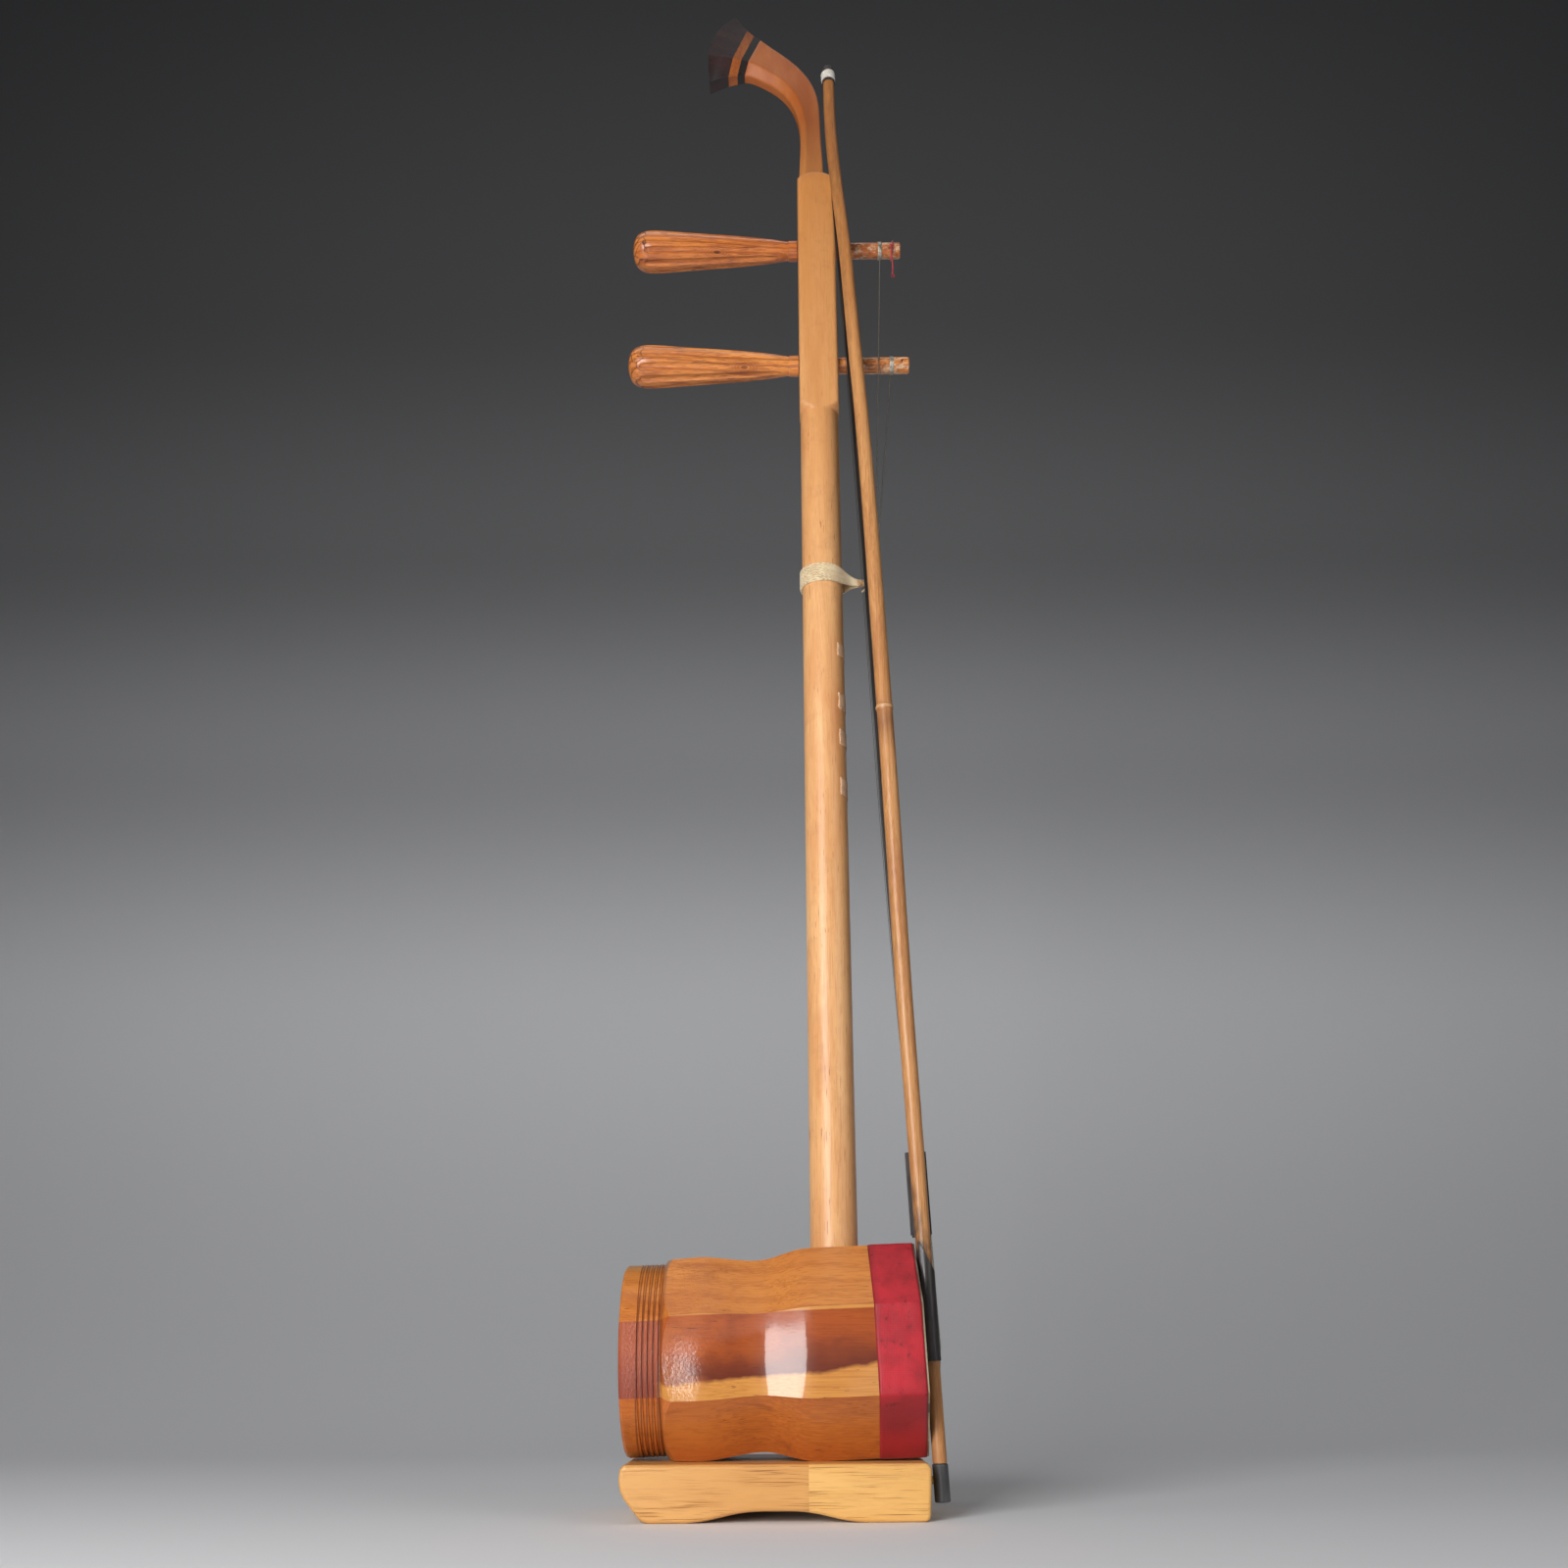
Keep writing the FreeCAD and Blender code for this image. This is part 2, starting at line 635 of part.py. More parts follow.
save("upper_peg", make_peg(upper_peg_z, upper_peg_front))
save("lower_peg", make_peg(lower_peg_z, lower_peg_front))
save("upper_winding", make_winding(upper_peg_z, upper_winding_x))
save("lower_winding", make_winding(lower_peg_z, lower_winding_x))


def make_red_thread():
    """Thread tied round the upper peg's tip, with its two ends hanging down."""
    radius = 0.45
    x = upper_peg_front - 5.2
    knot_y = -(peg_shaft_radius + radius + glue_clearance)
    loop = Part.makeTorus(peg_shaft_radius + radius + glue_clearance, radius,
                          V(x, 0, upper_peg_z), X_AXIS)
    points = [V(x, knot_y, upper_peg_z), V(x - 0.3, knot_y, upper_peg_z - 7),
              V(x + 0.5, knot_y - 0.4, upper_peg_z - 14), V(x + 0.1, knot_y, upper_peg_z - 20.5)]
    tail = tube(rounded_wire(points, [0, 12, 12, 0], False), radius)
    tassel = Part.makeCone(radius, 1.2, 3.5, V(x + 0.1, knot_y, upper_peg_z - 19.5), V(0, 0, -1))
    return loop.fuse(tail).fuse(tassel)


save("red_thread", make_red_thread())


# ---- Strings and neck tie -----------------------------------------------------------

def make_string(peg_z, peg_x, side):
    """String from its peg to the tie, over the bridge and down to the pin."""
    leave = peg_shaft_radius + 3 * string_radius + free_gap
    start = V(peg_x, side * leave, peg_z - 0.5)
    tie = V(tie_string_x, side * string_gap_at_tie / 2, tie_z)
    points = [start]
    radii = [0]
    if peg_z > lower_peg_z:
        beside = start.add(tie.sub(start) * ((start.z - lower_peg_z) / (start.z - tie.z)))
        beside.y = side * (peg_shaft_radius + string_radius + free_gap)
        points.append(beside)
        radii.append(40)
    points += [
        tie,
        box_point(skin_front + bridge_height + 0.25, side * string_gap_at_bridge / 2, 0),
        V(anchor_x, side * (anchor_radius + string_radius + glue_clearance), anchor_z - 2.0),
    ]
    return tube(rounded_wire(points, radii + [40, 6, 0], False), string_radius)


save("inner_string", make_string(upper_peg_z, upper_winding_x, -1))
save("outer_string", make_string(lower_peg_z, lower_winding_x, 1))


def make_tie_loop():
    """Thread wound round the neck and drawn together towards the strings."""
    low = tie_z - tie_height / 2
    ring = cylinder(V(0, 0, low), V(0, 0, low + tie_height), neck_radius + tie_thread)
    high = low + tie_height
    root_x = neck_radius * 0.4
    wide_y = neck_radius * 0.92
    wide = [V(root_x, -wide_y, low), V(root_x, wide_y, low), V(root_x, wide_y, high),
            V(root_x, -wide_y, high)]
    end = tie_binding_x
    narrow = [V(end, -1.9, tie_end_z - 1.9), V(end, 1.9, tie_end_z - 1.9),
              V(end, 1.9, tie_end_z + 1.9), V(end, -1.9, tie_end_z + 1.9)]
    gather = Part.makeLoft([Part.makePolygon(wide + wide[:1]),
                            Part.makePolygon(narrow + narrow[:1])], True, True)
    hole = cylinder(V(0, 0, low - 1), V(0, 0, low + tie_height + 1), neck_radius + glue_clearance)
    return ring.fuse(gather).cut(hole)


save("tie_loop", make_tie_loop())
binding_end = V(tie_binding_x + tie_binding_length, 0, tie_end_z)
save("tie_binding", cylinder(V(tie_binding_x, 0, tie_end_z), binding_end, 2.2))
tie_knot = cylinder(binding_end, V(tie_string_x - 2.6, 0, tie_end_z), 1.5)
tie_ring = Part.makeTorus(2.75, 0.75, V(tie_string_x, 0, tie_end_z), Z_AXIS)
save("tie_knot", tie_knot.fuse(tie_ring))

for index, (height, length) in enumerate(zip(mark_heights, mark_lengths)):
    inner = neck_radius + glue_clearance
    patch = cylinder(V(0, 0, height - length / 2), V(0, 0, height + length / 2),
                     inner + mark_thickness)
    patch = patch.cut(cylinder(V(0, 0, height - length), V(0, 0, height + length), inner))
    reach = 2 * neck_radius
    corners = [V(0, 0, height - length), V(0.6 * reach, -0.8 * reach, height - length),
               V(reach, 0, height - length), V(0.6 * reach, 0.8 * reach, height - length)]
    sector = Part.Face(Part.makePolygon(corners + corners[:1]))
    save("position_mark_%d" % (index + 1), patch.common(sector.extrude(V(0, 0, 2 * length))))


# ---- Bow ----------------------------------------------------------------------------

def stick_centre(station):
    along, aside, _ = station
    return V(aside, 0, along)


def make_stick():
    foot, bend = stick_stations[:2]
    straight = Part.makeCone(foot[2], bend[2], bend[0] - foot[0], stick_centre(foot), Z_AXIS)
    sections = []
    for station in stick_stations[1:]:
        circle = Part.makeCircle(station[2], stick_centre(station), Z_AXIS)
        sections.append(Part.Wire(circle))
    bore = cylinder(V(0, 0, 0), V(0, 0, screw_length + 2), screw_radius + running_clearance)
    half = eyelet_radius + running_clearance
    mortise_half = eyelet_half_length + frog_travel + 1
    mortise = box(-half, half, -half, 6, eyelet_z - mortise_half, eyelet_z + mortise_half)
    return straight.cut(bore).cut(mortise).fuse(Part.makeLoft(sections, True, False))


def make_clip():
    """Open sleeve round the stick, cut away towards the skin, with a sloping upper end."""
    length = clip_high - frog_low
    radii = [stick_at(along, 2) + running_clearance for along in (frog_low, clip_high)]
    start = V(0, 0, frog_low)
    clip = Part.makeCone(radii[0] + clip_wall, radii[1] + clip_wall, length, start, Z_AXIS)
    clip = clip.cut(Part.makeCone(radii[0], radii[1], length, start, Z_AXIS))
    clip = clip.cut(box(-10, -clip_open, -10, 10, frog_low - 1, clip_high + 1))
    reach = clip_open + radii[1] + clip_wall
    wedge = [V(-clip_open, -10, clip_high), V(-clip_open + reach, -10, clip_high - clip_slope),
             V(-clip_open + reach, -10, clip_high + 5), V(-clip_open, -10, clip_high + 5)]
    return clip.cut(Part.Face(Part.makePolygon(wedge + wedge[:1])).extrude(V(0, 20, 0)))


def make_frog():
    """Block beside the stick with a tongue for the ferrule, and the sleeve that holds it."""
    half = frog_width / 2
    inner = frog_inner_y
    outer = inner + frog_depth
    outline = [V(-half, inner, frog_low), V(-half, outer - 1, frog_low),
               V(-half, outer, frog_low + 2), V(-half, outer, ferrule_low),
               V(-half, inner, ferrule_low)]
    block = Part.Face(Part.makePolygon(outline + [outline[0]])).extrude(V(frog_width, 0, 0))
    tongue = box(-tongue_width / 2, tongue_width / 2, inner + tongue_low, inner + tongue_high,
                 ferrule_low, frog_high)
    seat = cylinder(V(0, inner - 1, eyelet_z), V(0, outer + 1, eyelet_z),
                    eyelet_stem + glue_clearance)
    return block.fuse(tongue).fuse(make_clip()).cut(seat)


def make_eyelet():
    """Brass eye on the screw, with its stem driven into the frog."""
    low = eyelet_z - eyelet_half_length
    high = eyelet_z + eyelet_half_length
    barrel = cylinder(V(0, 0, low), V(0, 0, high), eyelet_radius)
    stem = cylinder(V(0, 0, eyelet_z), V(0, frog_inner_y + frog_depth - 1, eyelet_z), eyelet_stem)
    hole = cylinder(V(0, 0, low - 1), V(0, 0, high + 1), screw_radius + running_clearance)
    return barrel.fuse(stem).cut(hole)


def make_ferrule():
    """Flattened tube round the frog's tongue and the foot of the hair."""
    half = tongue_width / 2
    low = frog_inner_y + tongue_low
    high = frog_inner_y + tongue_high
    wall = ferrule_wall
    shell = box(-half - wall - glue_clearance, half + wall + glue_clearance,
                low - wall - glue_clearance, high + wall + glue_clearance,
                ferrule_low + 1, ferrule_high)
    hollow = box(-half - glue_clearance, half + glue_clearance, low - glue_clearance,
                 high + glue_clearance, ferrule_low, ferrule_high + 1)
    return shell.cut(hollow)


def make_hair():
    """Flat hank of hair from the ferrule to the tip, a little slack."""
    sections = []
    top = stick_stations[-1]
    low_y = frog_inner_y + (tongue_low + tongue_high) / 2
    low_z = frog_high + 1.0
    high_z = top[0] - 2.0
    for share in (0.0, 0.06, 0.2, 0.4, 0.6, 0.8, 0.94, 1.0):
        along = low_z + (high_z - low_z) * share
        aside = stick_at(along, 1) - 2.3 * math.sin(math.pi * share) ** 0.8 * (share > 0.06)
        y = low_y + (3.9 - low_y) * share + 1.2 * math.sin(math.pi * share)
        hx = hair_width / 2 * (1.0 if share < 0.9 else 0.55)
        hy = hair_thickness / 2
        sections.append(Part.makePolygon([
            V(aside - hx, y - hy, along), V(aside + hx, y - hy, along),
            V(aside + hx, y + hy, along), V(aside - hx, y + hy, along),
            V(aside - hx, y - hy, along)]))
    return Part.makeLoft(sections, True, False)


save("bow_stick", place_on_bow(make_stick()))
save("bow_frog", place_on_bow(make_frog()))
save("frog_eyelet", place_on_bow(make_eyelet()))
save("hair_ferrule", place_on_bow(make_ferrule()))
save("bow_hair", place_on_bow(make_hair()))

bow_screw = cylinder(V(0, 0, 1.0), V(0, 0, screw_length), screw_radius)
save("bow_screw", place_on_bow(bow_screw))
button = cylinder(V(0, 0, 0), V(0, 0, button_length), button_radius)
button = button.makeFillet(0.6, [e for e in button.Edges if e.Curve.TypeId == "Part::GeomCircle"])
button = button.cut(cylinder(V(0, 0, 0.9), V(0, 0, button_length + 1),
                             screw_radius + glue_clearance))
save("bow_button", place_on_bow(button))

tip_point = stick_centre(stick_stations[-1])
for name, length, radius in tip_pieces:
    piece_end = tip_point.add(Z_AXIS * length)
    save(name, place_on_bow(cylinder(tip_point, piece_end, radius)))
    tip_point = piece_end
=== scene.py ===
import math
import random

import bmesh
import bpy
from mathutils import Matrix, Vector, noise


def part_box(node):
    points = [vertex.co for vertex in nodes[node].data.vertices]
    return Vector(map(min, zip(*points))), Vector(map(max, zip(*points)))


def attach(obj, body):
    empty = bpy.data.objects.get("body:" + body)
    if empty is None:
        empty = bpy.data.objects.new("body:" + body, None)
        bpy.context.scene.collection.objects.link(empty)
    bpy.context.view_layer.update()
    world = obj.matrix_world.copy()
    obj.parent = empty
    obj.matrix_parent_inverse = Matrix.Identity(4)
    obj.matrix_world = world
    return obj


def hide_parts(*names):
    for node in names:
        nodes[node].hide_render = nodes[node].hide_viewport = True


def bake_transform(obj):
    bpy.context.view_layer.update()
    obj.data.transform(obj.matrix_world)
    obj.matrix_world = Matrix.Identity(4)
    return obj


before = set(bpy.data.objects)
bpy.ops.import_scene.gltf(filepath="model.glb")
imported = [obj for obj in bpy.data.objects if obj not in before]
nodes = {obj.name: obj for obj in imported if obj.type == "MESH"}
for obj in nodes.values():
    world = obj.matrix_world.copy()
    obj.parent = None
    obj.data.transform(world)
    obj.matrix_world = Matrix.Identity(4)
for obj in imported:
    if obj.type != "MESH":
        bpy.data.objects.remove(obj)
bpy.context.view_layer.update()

# The erhu stands on z = 0 with its neck on the Z axis. +X faces the skin, and the
# bow hangs on the -Y side, towards the camera. Everything here is in metres.

BOX_TILT = math.radians(2.0)
BOX_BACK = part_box("stave_3")[0][0]
TURNED_END = -0.0690          # X where the turned rear end meets the facets
NECK_RADIUS = 0.0100
UPPER_PEG_Z = 0.6283
PEG_TIP_RADIUS = 0.0045
BOW_FOOT_X = 0.0392
BOW_SLOPE = 0.0375            # how far the bow leans back for each metre of height
BOW_LEAN = math.radians(-2.15)
CANE_NODE_Z = 0.3395
THREAD_RADIUS = 0.00042


# ---- Camera, stage and light --------------------------------------------------------

def add_object(name, data, matrix=None):
    """Put data into the scene, at a matrix where one is given."""
    obj = bpy.data.objects.new(name, data)
    bpy.context.scene.collection.objects.link(obj)
    if matrix is not None:
        obj.matrix_world = matrix
    return obj


def add_camera():
    """Low camera on the -Y side, pitched up along the neck."""
    data = bpy.data.cameras.new("view")
    data.sensor_width = 36.0
    data.lens = 32.6
    data.clip_start = 0.02
    place = Matrix.Translation(Vector((-0.0198, -0.624, 0.0594)))
    place = place @ Matrix.Rotation(math.radians(90 + 21.8), 4, "X")
    place = place @ Matrix.Rotation(math.radians(-0.34), 4, "Z")
    bpy.context.scene.camera = add_object("view", data, place)


def add_backdrop():
    """Pale floor that curves up into a wall behind the object."""
    half_width = 4.0
    wall_top = 4.0
    bend_start = 0.35
    bend = 1.3
    steps = 24
    profile = [(-3.0, 0.0), (bend_start, 0.0)]
    for step in range(1, steps + 1):
        angle = math.radians(90 * step / steps)
        profile.append((bend_start + bend * math.sin(angle), bend * (1 - math.cos(angle))))
    profile.append((bend_start + bend, wall_top))
    vertices = []
    for y, z in profile:
        vertices += [(-half_width, y, z), (half_width, y, z)]
    faces = [(2 * i, 2 * i + 1, 2 * i + 3, 2 * i + 2) for i in range(len(profile) - 1)]
    mesh = bpy.data.meshes.new("backdrop")
    mesh.from_pydata(vertices, [], faces)
    smooth_faces(mesh)
    backdrop = add_object("backdrop", mesh)
    backdrop.data.materials.append(backdrop_material())


def backdrop_material():
    """Pale floor; the wall behind is painted greyer with height, as painted shade for light falling off up
    the wall.
    """
    mat = bpy.data.materials.new("backdrop_paper")
    mat.use_nodes = True
    tree = mat.node_tree
    shader = tree.nodes["Principled BSDF"]
    shader.inputs["Roughness"].default_value = 0.9
    shader.inputs["Specular IOR Level"].default_value = 0.1
    place = tree.nodes.new("ShaderNodeTexCoord")
    split = tree.nodes.new("ShaderNodeSeparateXYZ")
    ramp = tree.nodes.new("ShaderNodeValToRGB")
    tree.links.new(place.outputs["Object"], split.inputs["Vector"])
    height = tree.nodes.new("ShaderNodeMath")
    height.operation = "MULTIPLY"
    height.inputs[1].default_value = 0.5
    tree.links.new(split.outputs["Z"], height.inputs[0])
    tree.links.new(height.outputs["Value"], ramp.inputs["Fac"])
    tree.links.new(ramp.outputs["Color"], shader.inputs["Base Color"])
    ramp.color_ramp.interpolation = "EASE"
    # Painted shade: the wall's tone falls from 0.95 low down to 0.15 high up, standing in for light falling
    # off up the wall.
    tones = [(0.02, 0.78), (0.25, 0.95), (0.50, 0.50), (0.72, 0.24), (1.0, 0.15)]
    while len(ramp.color_ramp.elements) < len(tones):
        ramp.color_ramp.elements.new(0.5)
    for element, (position, tone) in zip(ramp.color_ramp.elements, tones):
        element.position = position
        element.color = (tone, tone, tone * 1.02, 1)
    return mat


def add_softbox(name, place, target, width, height, power):
    """Rectangular soft light at a place, facing a target."""
    data = bpy.data.lights.new(name, "AREA")
    data.shape = "RECTANGLE"
    data.size = width
    data.size_y = height
    data.energy = power
    direction = Vector(target) - Vector(place)
    turn = direction.to_track_quat("-Z", "Y").to_matrix().to_4x4()
    add_object(name, data, Matrix.Translation(Vector(place)) @ turn)


def add_lights():
    """Dim surround, a tall key beside the camera, a weak fill and a wash on the wall."""
    world = bpy.data.worlds.new("studio")
    bpy.context.scene.world = world
    world.use_nodes = True
    world.node_tree.nodes["Background"].inputs["Color"].default_value = (0.9, 0.95, 1, 1)
    world.node_tree.nodes["Background"].inputs["Strength"].default_value = 0.06
    add_softbox("key", (-0.44, -0.80, 0.27), (-0.02, -0.04, 0.21), 0.50, 0.80, 11.8)
    add_softbox("fill", (0.80, -0.75, 0.50), (0, 0, 0.30), 0.5, 0.7, 1.8)
    add_softbox("wall", (0.0, -0.2, 2.4), (0, 1.35, 0.5), 2.6, 0.5, 9.0)


# ---- Material helpers ---------------------------------------------------------------

class Shade:
    """One material, with short ways to add and wire its nodes."""

    def __init__(self, name, roughness=0.5, coat=0.0, coat_roughness=0.1, metallic=0.0,
                 specular=0.5, sheen=0.0):
        self.mat = bpy.data.materials.new(name)
        self.mat.use_nodes = True
        self.tree = self.mat.node_tree
        self.shader = self.tree.nodes["Principled BSDF"]
        self.shader.inputs["Roughness"].default_value = roughness
        self.shader.inputs["Coat Weight"].default_value = coat
        self.shader.inputs["Coat Roughness"].default_value = coat_roughness
        self.shader.inputs["Metallic"].default_value = metallic
        self.shader.inputs["Specular IOR Level"].default_value = specular
        self.shader.inputs["Sheen Weight"].default_value = sheen
        self.place = self.add("ShaderNodeTexCoord").outputs["Object"]

    def add(self, kind, **settings):
        node = self.tree.nodes.new(kind)
        for key, value in settings.items():
            setattr(node, key, value)
        return node

    def put(self, socket, value):
        if isinstance(value, bpy.types.NodeSocket):
            self.tree.links.new(value, socket)
        else:
            socket.default_value = value

    def mapped(self, scale=(1, 1, 1), offset=(0, 0, 0), turn=(0, 0, 0)):
        node = self.add("ShaderNodeMapping")
        self.put(node.inputs["Vector"], self.place)
        node.inputs["Scale"].default_value = scale
        node.inputs["Location"].default_value = offset
        node.inputs["Rotation"].default_value = turn
        return node.outputs["Vector"]

    def noise(self, vector, scale=1.0, detail=4.0, roughness=0.55, distortion=0.0):
        node = self.add("ShaderNodeTexNoise")
        self.put(node.inputs["Vector"], vector)
        node.inputs["Scale"].default_value = scale
        node.inputs["Detail"].default_value = detail
        node.inputs["Roughness"].default_value = roughness
        node.inputs["Distortion"].default_value = distortion
        return node.outputs["Fac"]

    def voronoi(self, vector, scale, feature="F1", randomness=1.0, output="Distance"):
        node = self.add("ShaderNodeTexVoronoi", feature=feature)
        self.put(node.inputs["Vector"], vector)
        node.inputs["Scale"].default_value = scale
        node.inputs["Randomness"].default_value = randomness
        return node.outputs[output]

    def wave(self, vector, scale, distortion=0.0, direction="X", detail=2.0, detail_scale=1.0):
        node = self.add("ShaderNodeTexWave", wave_type="BANDS", bands_direction=direction)
        self.put(node.inputs["Vector"], vector)
        node.inputs["Scale"].default_value = scale
        node.inputs["Distortion"].default_value = distortion
        node.inputs["Detail"].default_value = detail
        node.inputs["Detail Scale"].default_value = detail_scale
        return node.outputs["Fac"]

    def ramp(self, value, stops):
        """Colour ramp; each stop is (place, grey) or (place, (r, g, b))."""
        node = self.add("ShaderNodeValToRGB")
        self.put(node.inputs["Fac"], value)
        ramp = node.color_ramp
        while len(ramp.elements) < len(stops):
            ramp.elements.new(0.5)
        for element, (place, colour) in zip(ramp.elements, stops):
            if not isinstance(colour, tuple):
                colour = (colour, colour, colour)
            element.position = place
            element.color = (*colour, 1)
        return node.outputs["Color"]

    def mix(self, amount, a, b, mode="MIX"):
        node = self.add("ShaderNodeMix", data_type="RGBA", blend_type=mode)
        self.put(node.inputs["Factor"], amount)
        colours = [s for s in node.inputs if s.type == "RGBA"]
        for socket, value in zip(colours, (a, b)):
            if isinstance(value, tuple):
                value = (*value[:3], 1)
            self.put(socket, value)
        return [s for s in node.outputs if s.type == "RGBA"][0]

    def math(self, operation, a, b=0.0, clamp=False):
        node = self.add("ShaderNodeMath", operation=operation, use_clamp=clamp)
        self.put(node.inputs[0], a)
        self.put(node.inputs[1], b)
        return node.outputs["Value"]

    def apart(self, a, b):
        """Distance between two values."""
        return self.math("ABSOLUTE", self.minus(a, b))

    def times(self, a, b, clamp=False):
        return self.math("MULTIPLY", a, b, clamp)

    def minus(self, a, b):
        return self.math("SUBTRACT", a, b)

    def x(self):
        return self.split(self.place)[0]

    def z(self):
        return self.split(self.place)[2]

    def tint(self, colour, value, start, end, amount, tone):
        """Mix in a tone where a value rises from start to end, up to an amount."""
        return self.mix(self.ramp(value, [(start, 0.0), (end, amount)]), colour, tone)

    def split(self, vector):
        node = self.add("ShaderNodeSeparateXYZ")
        self.put(node.inputs["Vector"], vector)
        return node.outputs

    def remap(self, value, low, high, to_low=0.0, to_high=1.0):
        node = self.add("ShaderNodeMapRange")
        self.put(node.inputs["Value"], value)
        node.inputs["From Min"].default_value = low
        node.inputs["From Max"].default_value = high
        node.inputs["To Min"].default_value = to_low
        node.inputs["To Max"].default_value = to_high
        return node.outputs["Result"]

    def colour(self, value):
        self.put(self.shader.inputs["Base Color"], value)

    def rough(self, value):
        self.put(self.shader.inputs["Roughness"], value)

    def soften(self, radius):
        """Ease sharp edges in the shading by a small radius."""
        node = self.add("ShaderNodeBevel", samples=4)
        node.inputs["Radius"].default_value = radius
        self.put(self.shader.inputs["Normal"], node.outputs["Normal"])

    def bump(self, height, distance, strength=1.0):
        """Adds a bump on top of any bump already there; distance is in metres."""
        node = self.add("ShaderNodeBump")
        self.put(node.inputs["Height"], height)
        node.inputs["Distance"].default_value = distance
        node.inputs["Strength"].default_value = strength
        socket = self.shader.inputs["Normal"]
        if socket.is_linked:
            self.put(node.inputs["Normal"], socket.links[0].from_socket)
        self.put(socket, node.outputs["Normal"])
        self.put(self.shader.inputs["Coat Normal"], node.outputs["Normal"])


def along(axis, across, lengthwise):
    """Texture scale with the grain running along one axis: features per metre."""
    return tuple(lengthwise if name == axis else across for name in "xyz")


def wood_colours(shade, axis, light, dark, deep, seed, figure):
    """Growth bands, fibres and slow colour drift, as one colour socket."""
    offset = (seed * 0.37, seed * 0.61, seed * 0.23)
    drift = shade.noise(shade.mapped(along(axis, 45, 7), offset), 1.0, 3.0, 0.5, 0.6)
    bands = shade.wave(shade.mapped(along(axis, 1.0, 0.10), offset), 55.0, 5.0, "DIAGONAL", 1.5, 24.0)
    fibre = shade.noise(shade.mapped(along(axis, 1500, 45), offset), 1.0, 4.0, 0.6)
    base = shade.tint(light, drift, 0.30, 0.72, 1.0, dark)
    line = shade.ramp(bands, [(0.35, 0.0), (0.85, 0.32 * figure), (0.98, 0.60 * figure)])
    banded = shade.mix(line, base, tuple(0.6 * a + 0.4 * b for a, b in zip(dark, deep)))
    return shade.tint(banded, fibre, 0.52, 0.75, 0.55, deep), fibre


def add_pores(shade, colour, axis, pore, seed, length, width, amount):
    """Short dark pore lines along the grain."""
    offset = (seed * 1.7, seed * 0.9, seed * 1.3)
    field = shade.noise(shade.mapped(along(axis, width, length), offset), 1.0, 2.0, 0.5)
    mask = shade.ramp(field, [(amount, 0.0), (amount + 0.05, 0.85)])
    patch = shade.noise(shade.mapped(along(axis, 90, 25), offset), 1.0, 2.0)
    mask = shade.mix(1.0, mask, shade.ramp(patch, [(0.38, 0.0), (0.6, 1.0)]), "MULTIPLY")
    return shade.mix(mask, colour, pore), mask


def wear(shade, colour, dirt, seed, scale, amount):
    """Faint grime and handling marks in soft patches."""
    offset = (seed * 2.1, seed * 0.4, seed * 1.1)
    patch = shade.noise(shade.mapped((1, 1, 1), offset), scale, 6.0, 0.7)
    mask = shade.ramp(patch, [(0.55, 0.0), (0.80, amount)])
    return shade.mix(mask, colour, dirt)


# ---- Wood materials -----------------------------------------------------------------

def neck_material():
    """Pale straight-grained neck, redder above the pegs and dull on the head."""
    shade = Shade("neck_wood", 0.42, 0.30, 0.20, specular=0.3)
    light = (0.80, 0.46, 0.21)
    dark = (0.66, 0.32, 0.12)
    colour, fibre = wood_colours(shade, "z", light, dark, (0.45, 0.19, 0.07), 1.0, 0.45)
    colour, pores = add_pores(shade, colour, "z", (0.34, 0.13, 0.05), 2.0, 110, 1900, 0.64)
    height = shade.z()
    colour = shade.mix(shade.remap(height, 0.42, 0.66, 0.0, 0.72), colour, (0.52, 0.170, 0.022))
    colour = shade.mix(shade.remap(height, 0.668, 0.72, 0.0, 0.85), colour, (0.34, 0.072, 0.012))
    blush = shade.noise(shade.mapped((70, 70, 14), (0.4, 0.2, 0.9)), 1.0, 4.0, 0.6)
    colour = shade.tint(colour, blush, 0.46, 0.70, 0.55, (0.52, 0.185, 0.055))
    colour = wear(shade, colour, (0.30, 0.12, 0.05), 3.0, 70.0, 0.3)
    shade.colour(colour)
    shade.put(shade.shader.inputs["Coat Weight"], shade.remap(height, 0.66, 0.70, 0.30, 0.10))
    shade.rough(shade.ramp(fibre, [(0.3, 0.30), (0.8, 0.50)]))
    shade.soften(0.0022)
    shade.bump(fibre, 0.00006, 0.5)
    shade.bump(pores, -0.00012, 0.6)
    return shade.mat


def base_material(name, light, dark, pore_amount, seed):
    """Open-pored yellow wood of the base blocks."""
    shade = Shade(name, 0.46, 0.22, 0.25, specular=0.3)
    colour, fibre = wood_colours(shade, "x", light, dark, (0.55, 0.28, 0.09), seed, 0.5)
    colour, pores = add_pores(shade, colour, "x", (0.26, 0.09, 0.02), seed, 42, 3400, pore_amount)
    colour = wear(shade, colour, (0.45, 0.18, 0.06), seed, 45.0, 0.25)
    shade.colour(colour)
    shade.rough(shade.ramp(fibre, [(0.3, 0.34), (0.8, 0.5)]))
    shade.bump(fibre, 0.00005, 0.5)
    shade.bump(pores, -0.0002, 0.7)
    return shade.mat


def stave_height(shade):
    """Height above the sound box's leaning axis, in metres."""
    low, high = corners("skin_band")
    centre = (low + high) * 0.5
    parts = shade.split(shade.place)
    lean = shade.times(shade.minus(parts[0], centre.x), math.tan(BOX_TILT))
    return shade.minus(shade.minus(parts[2], centre.z), lean)


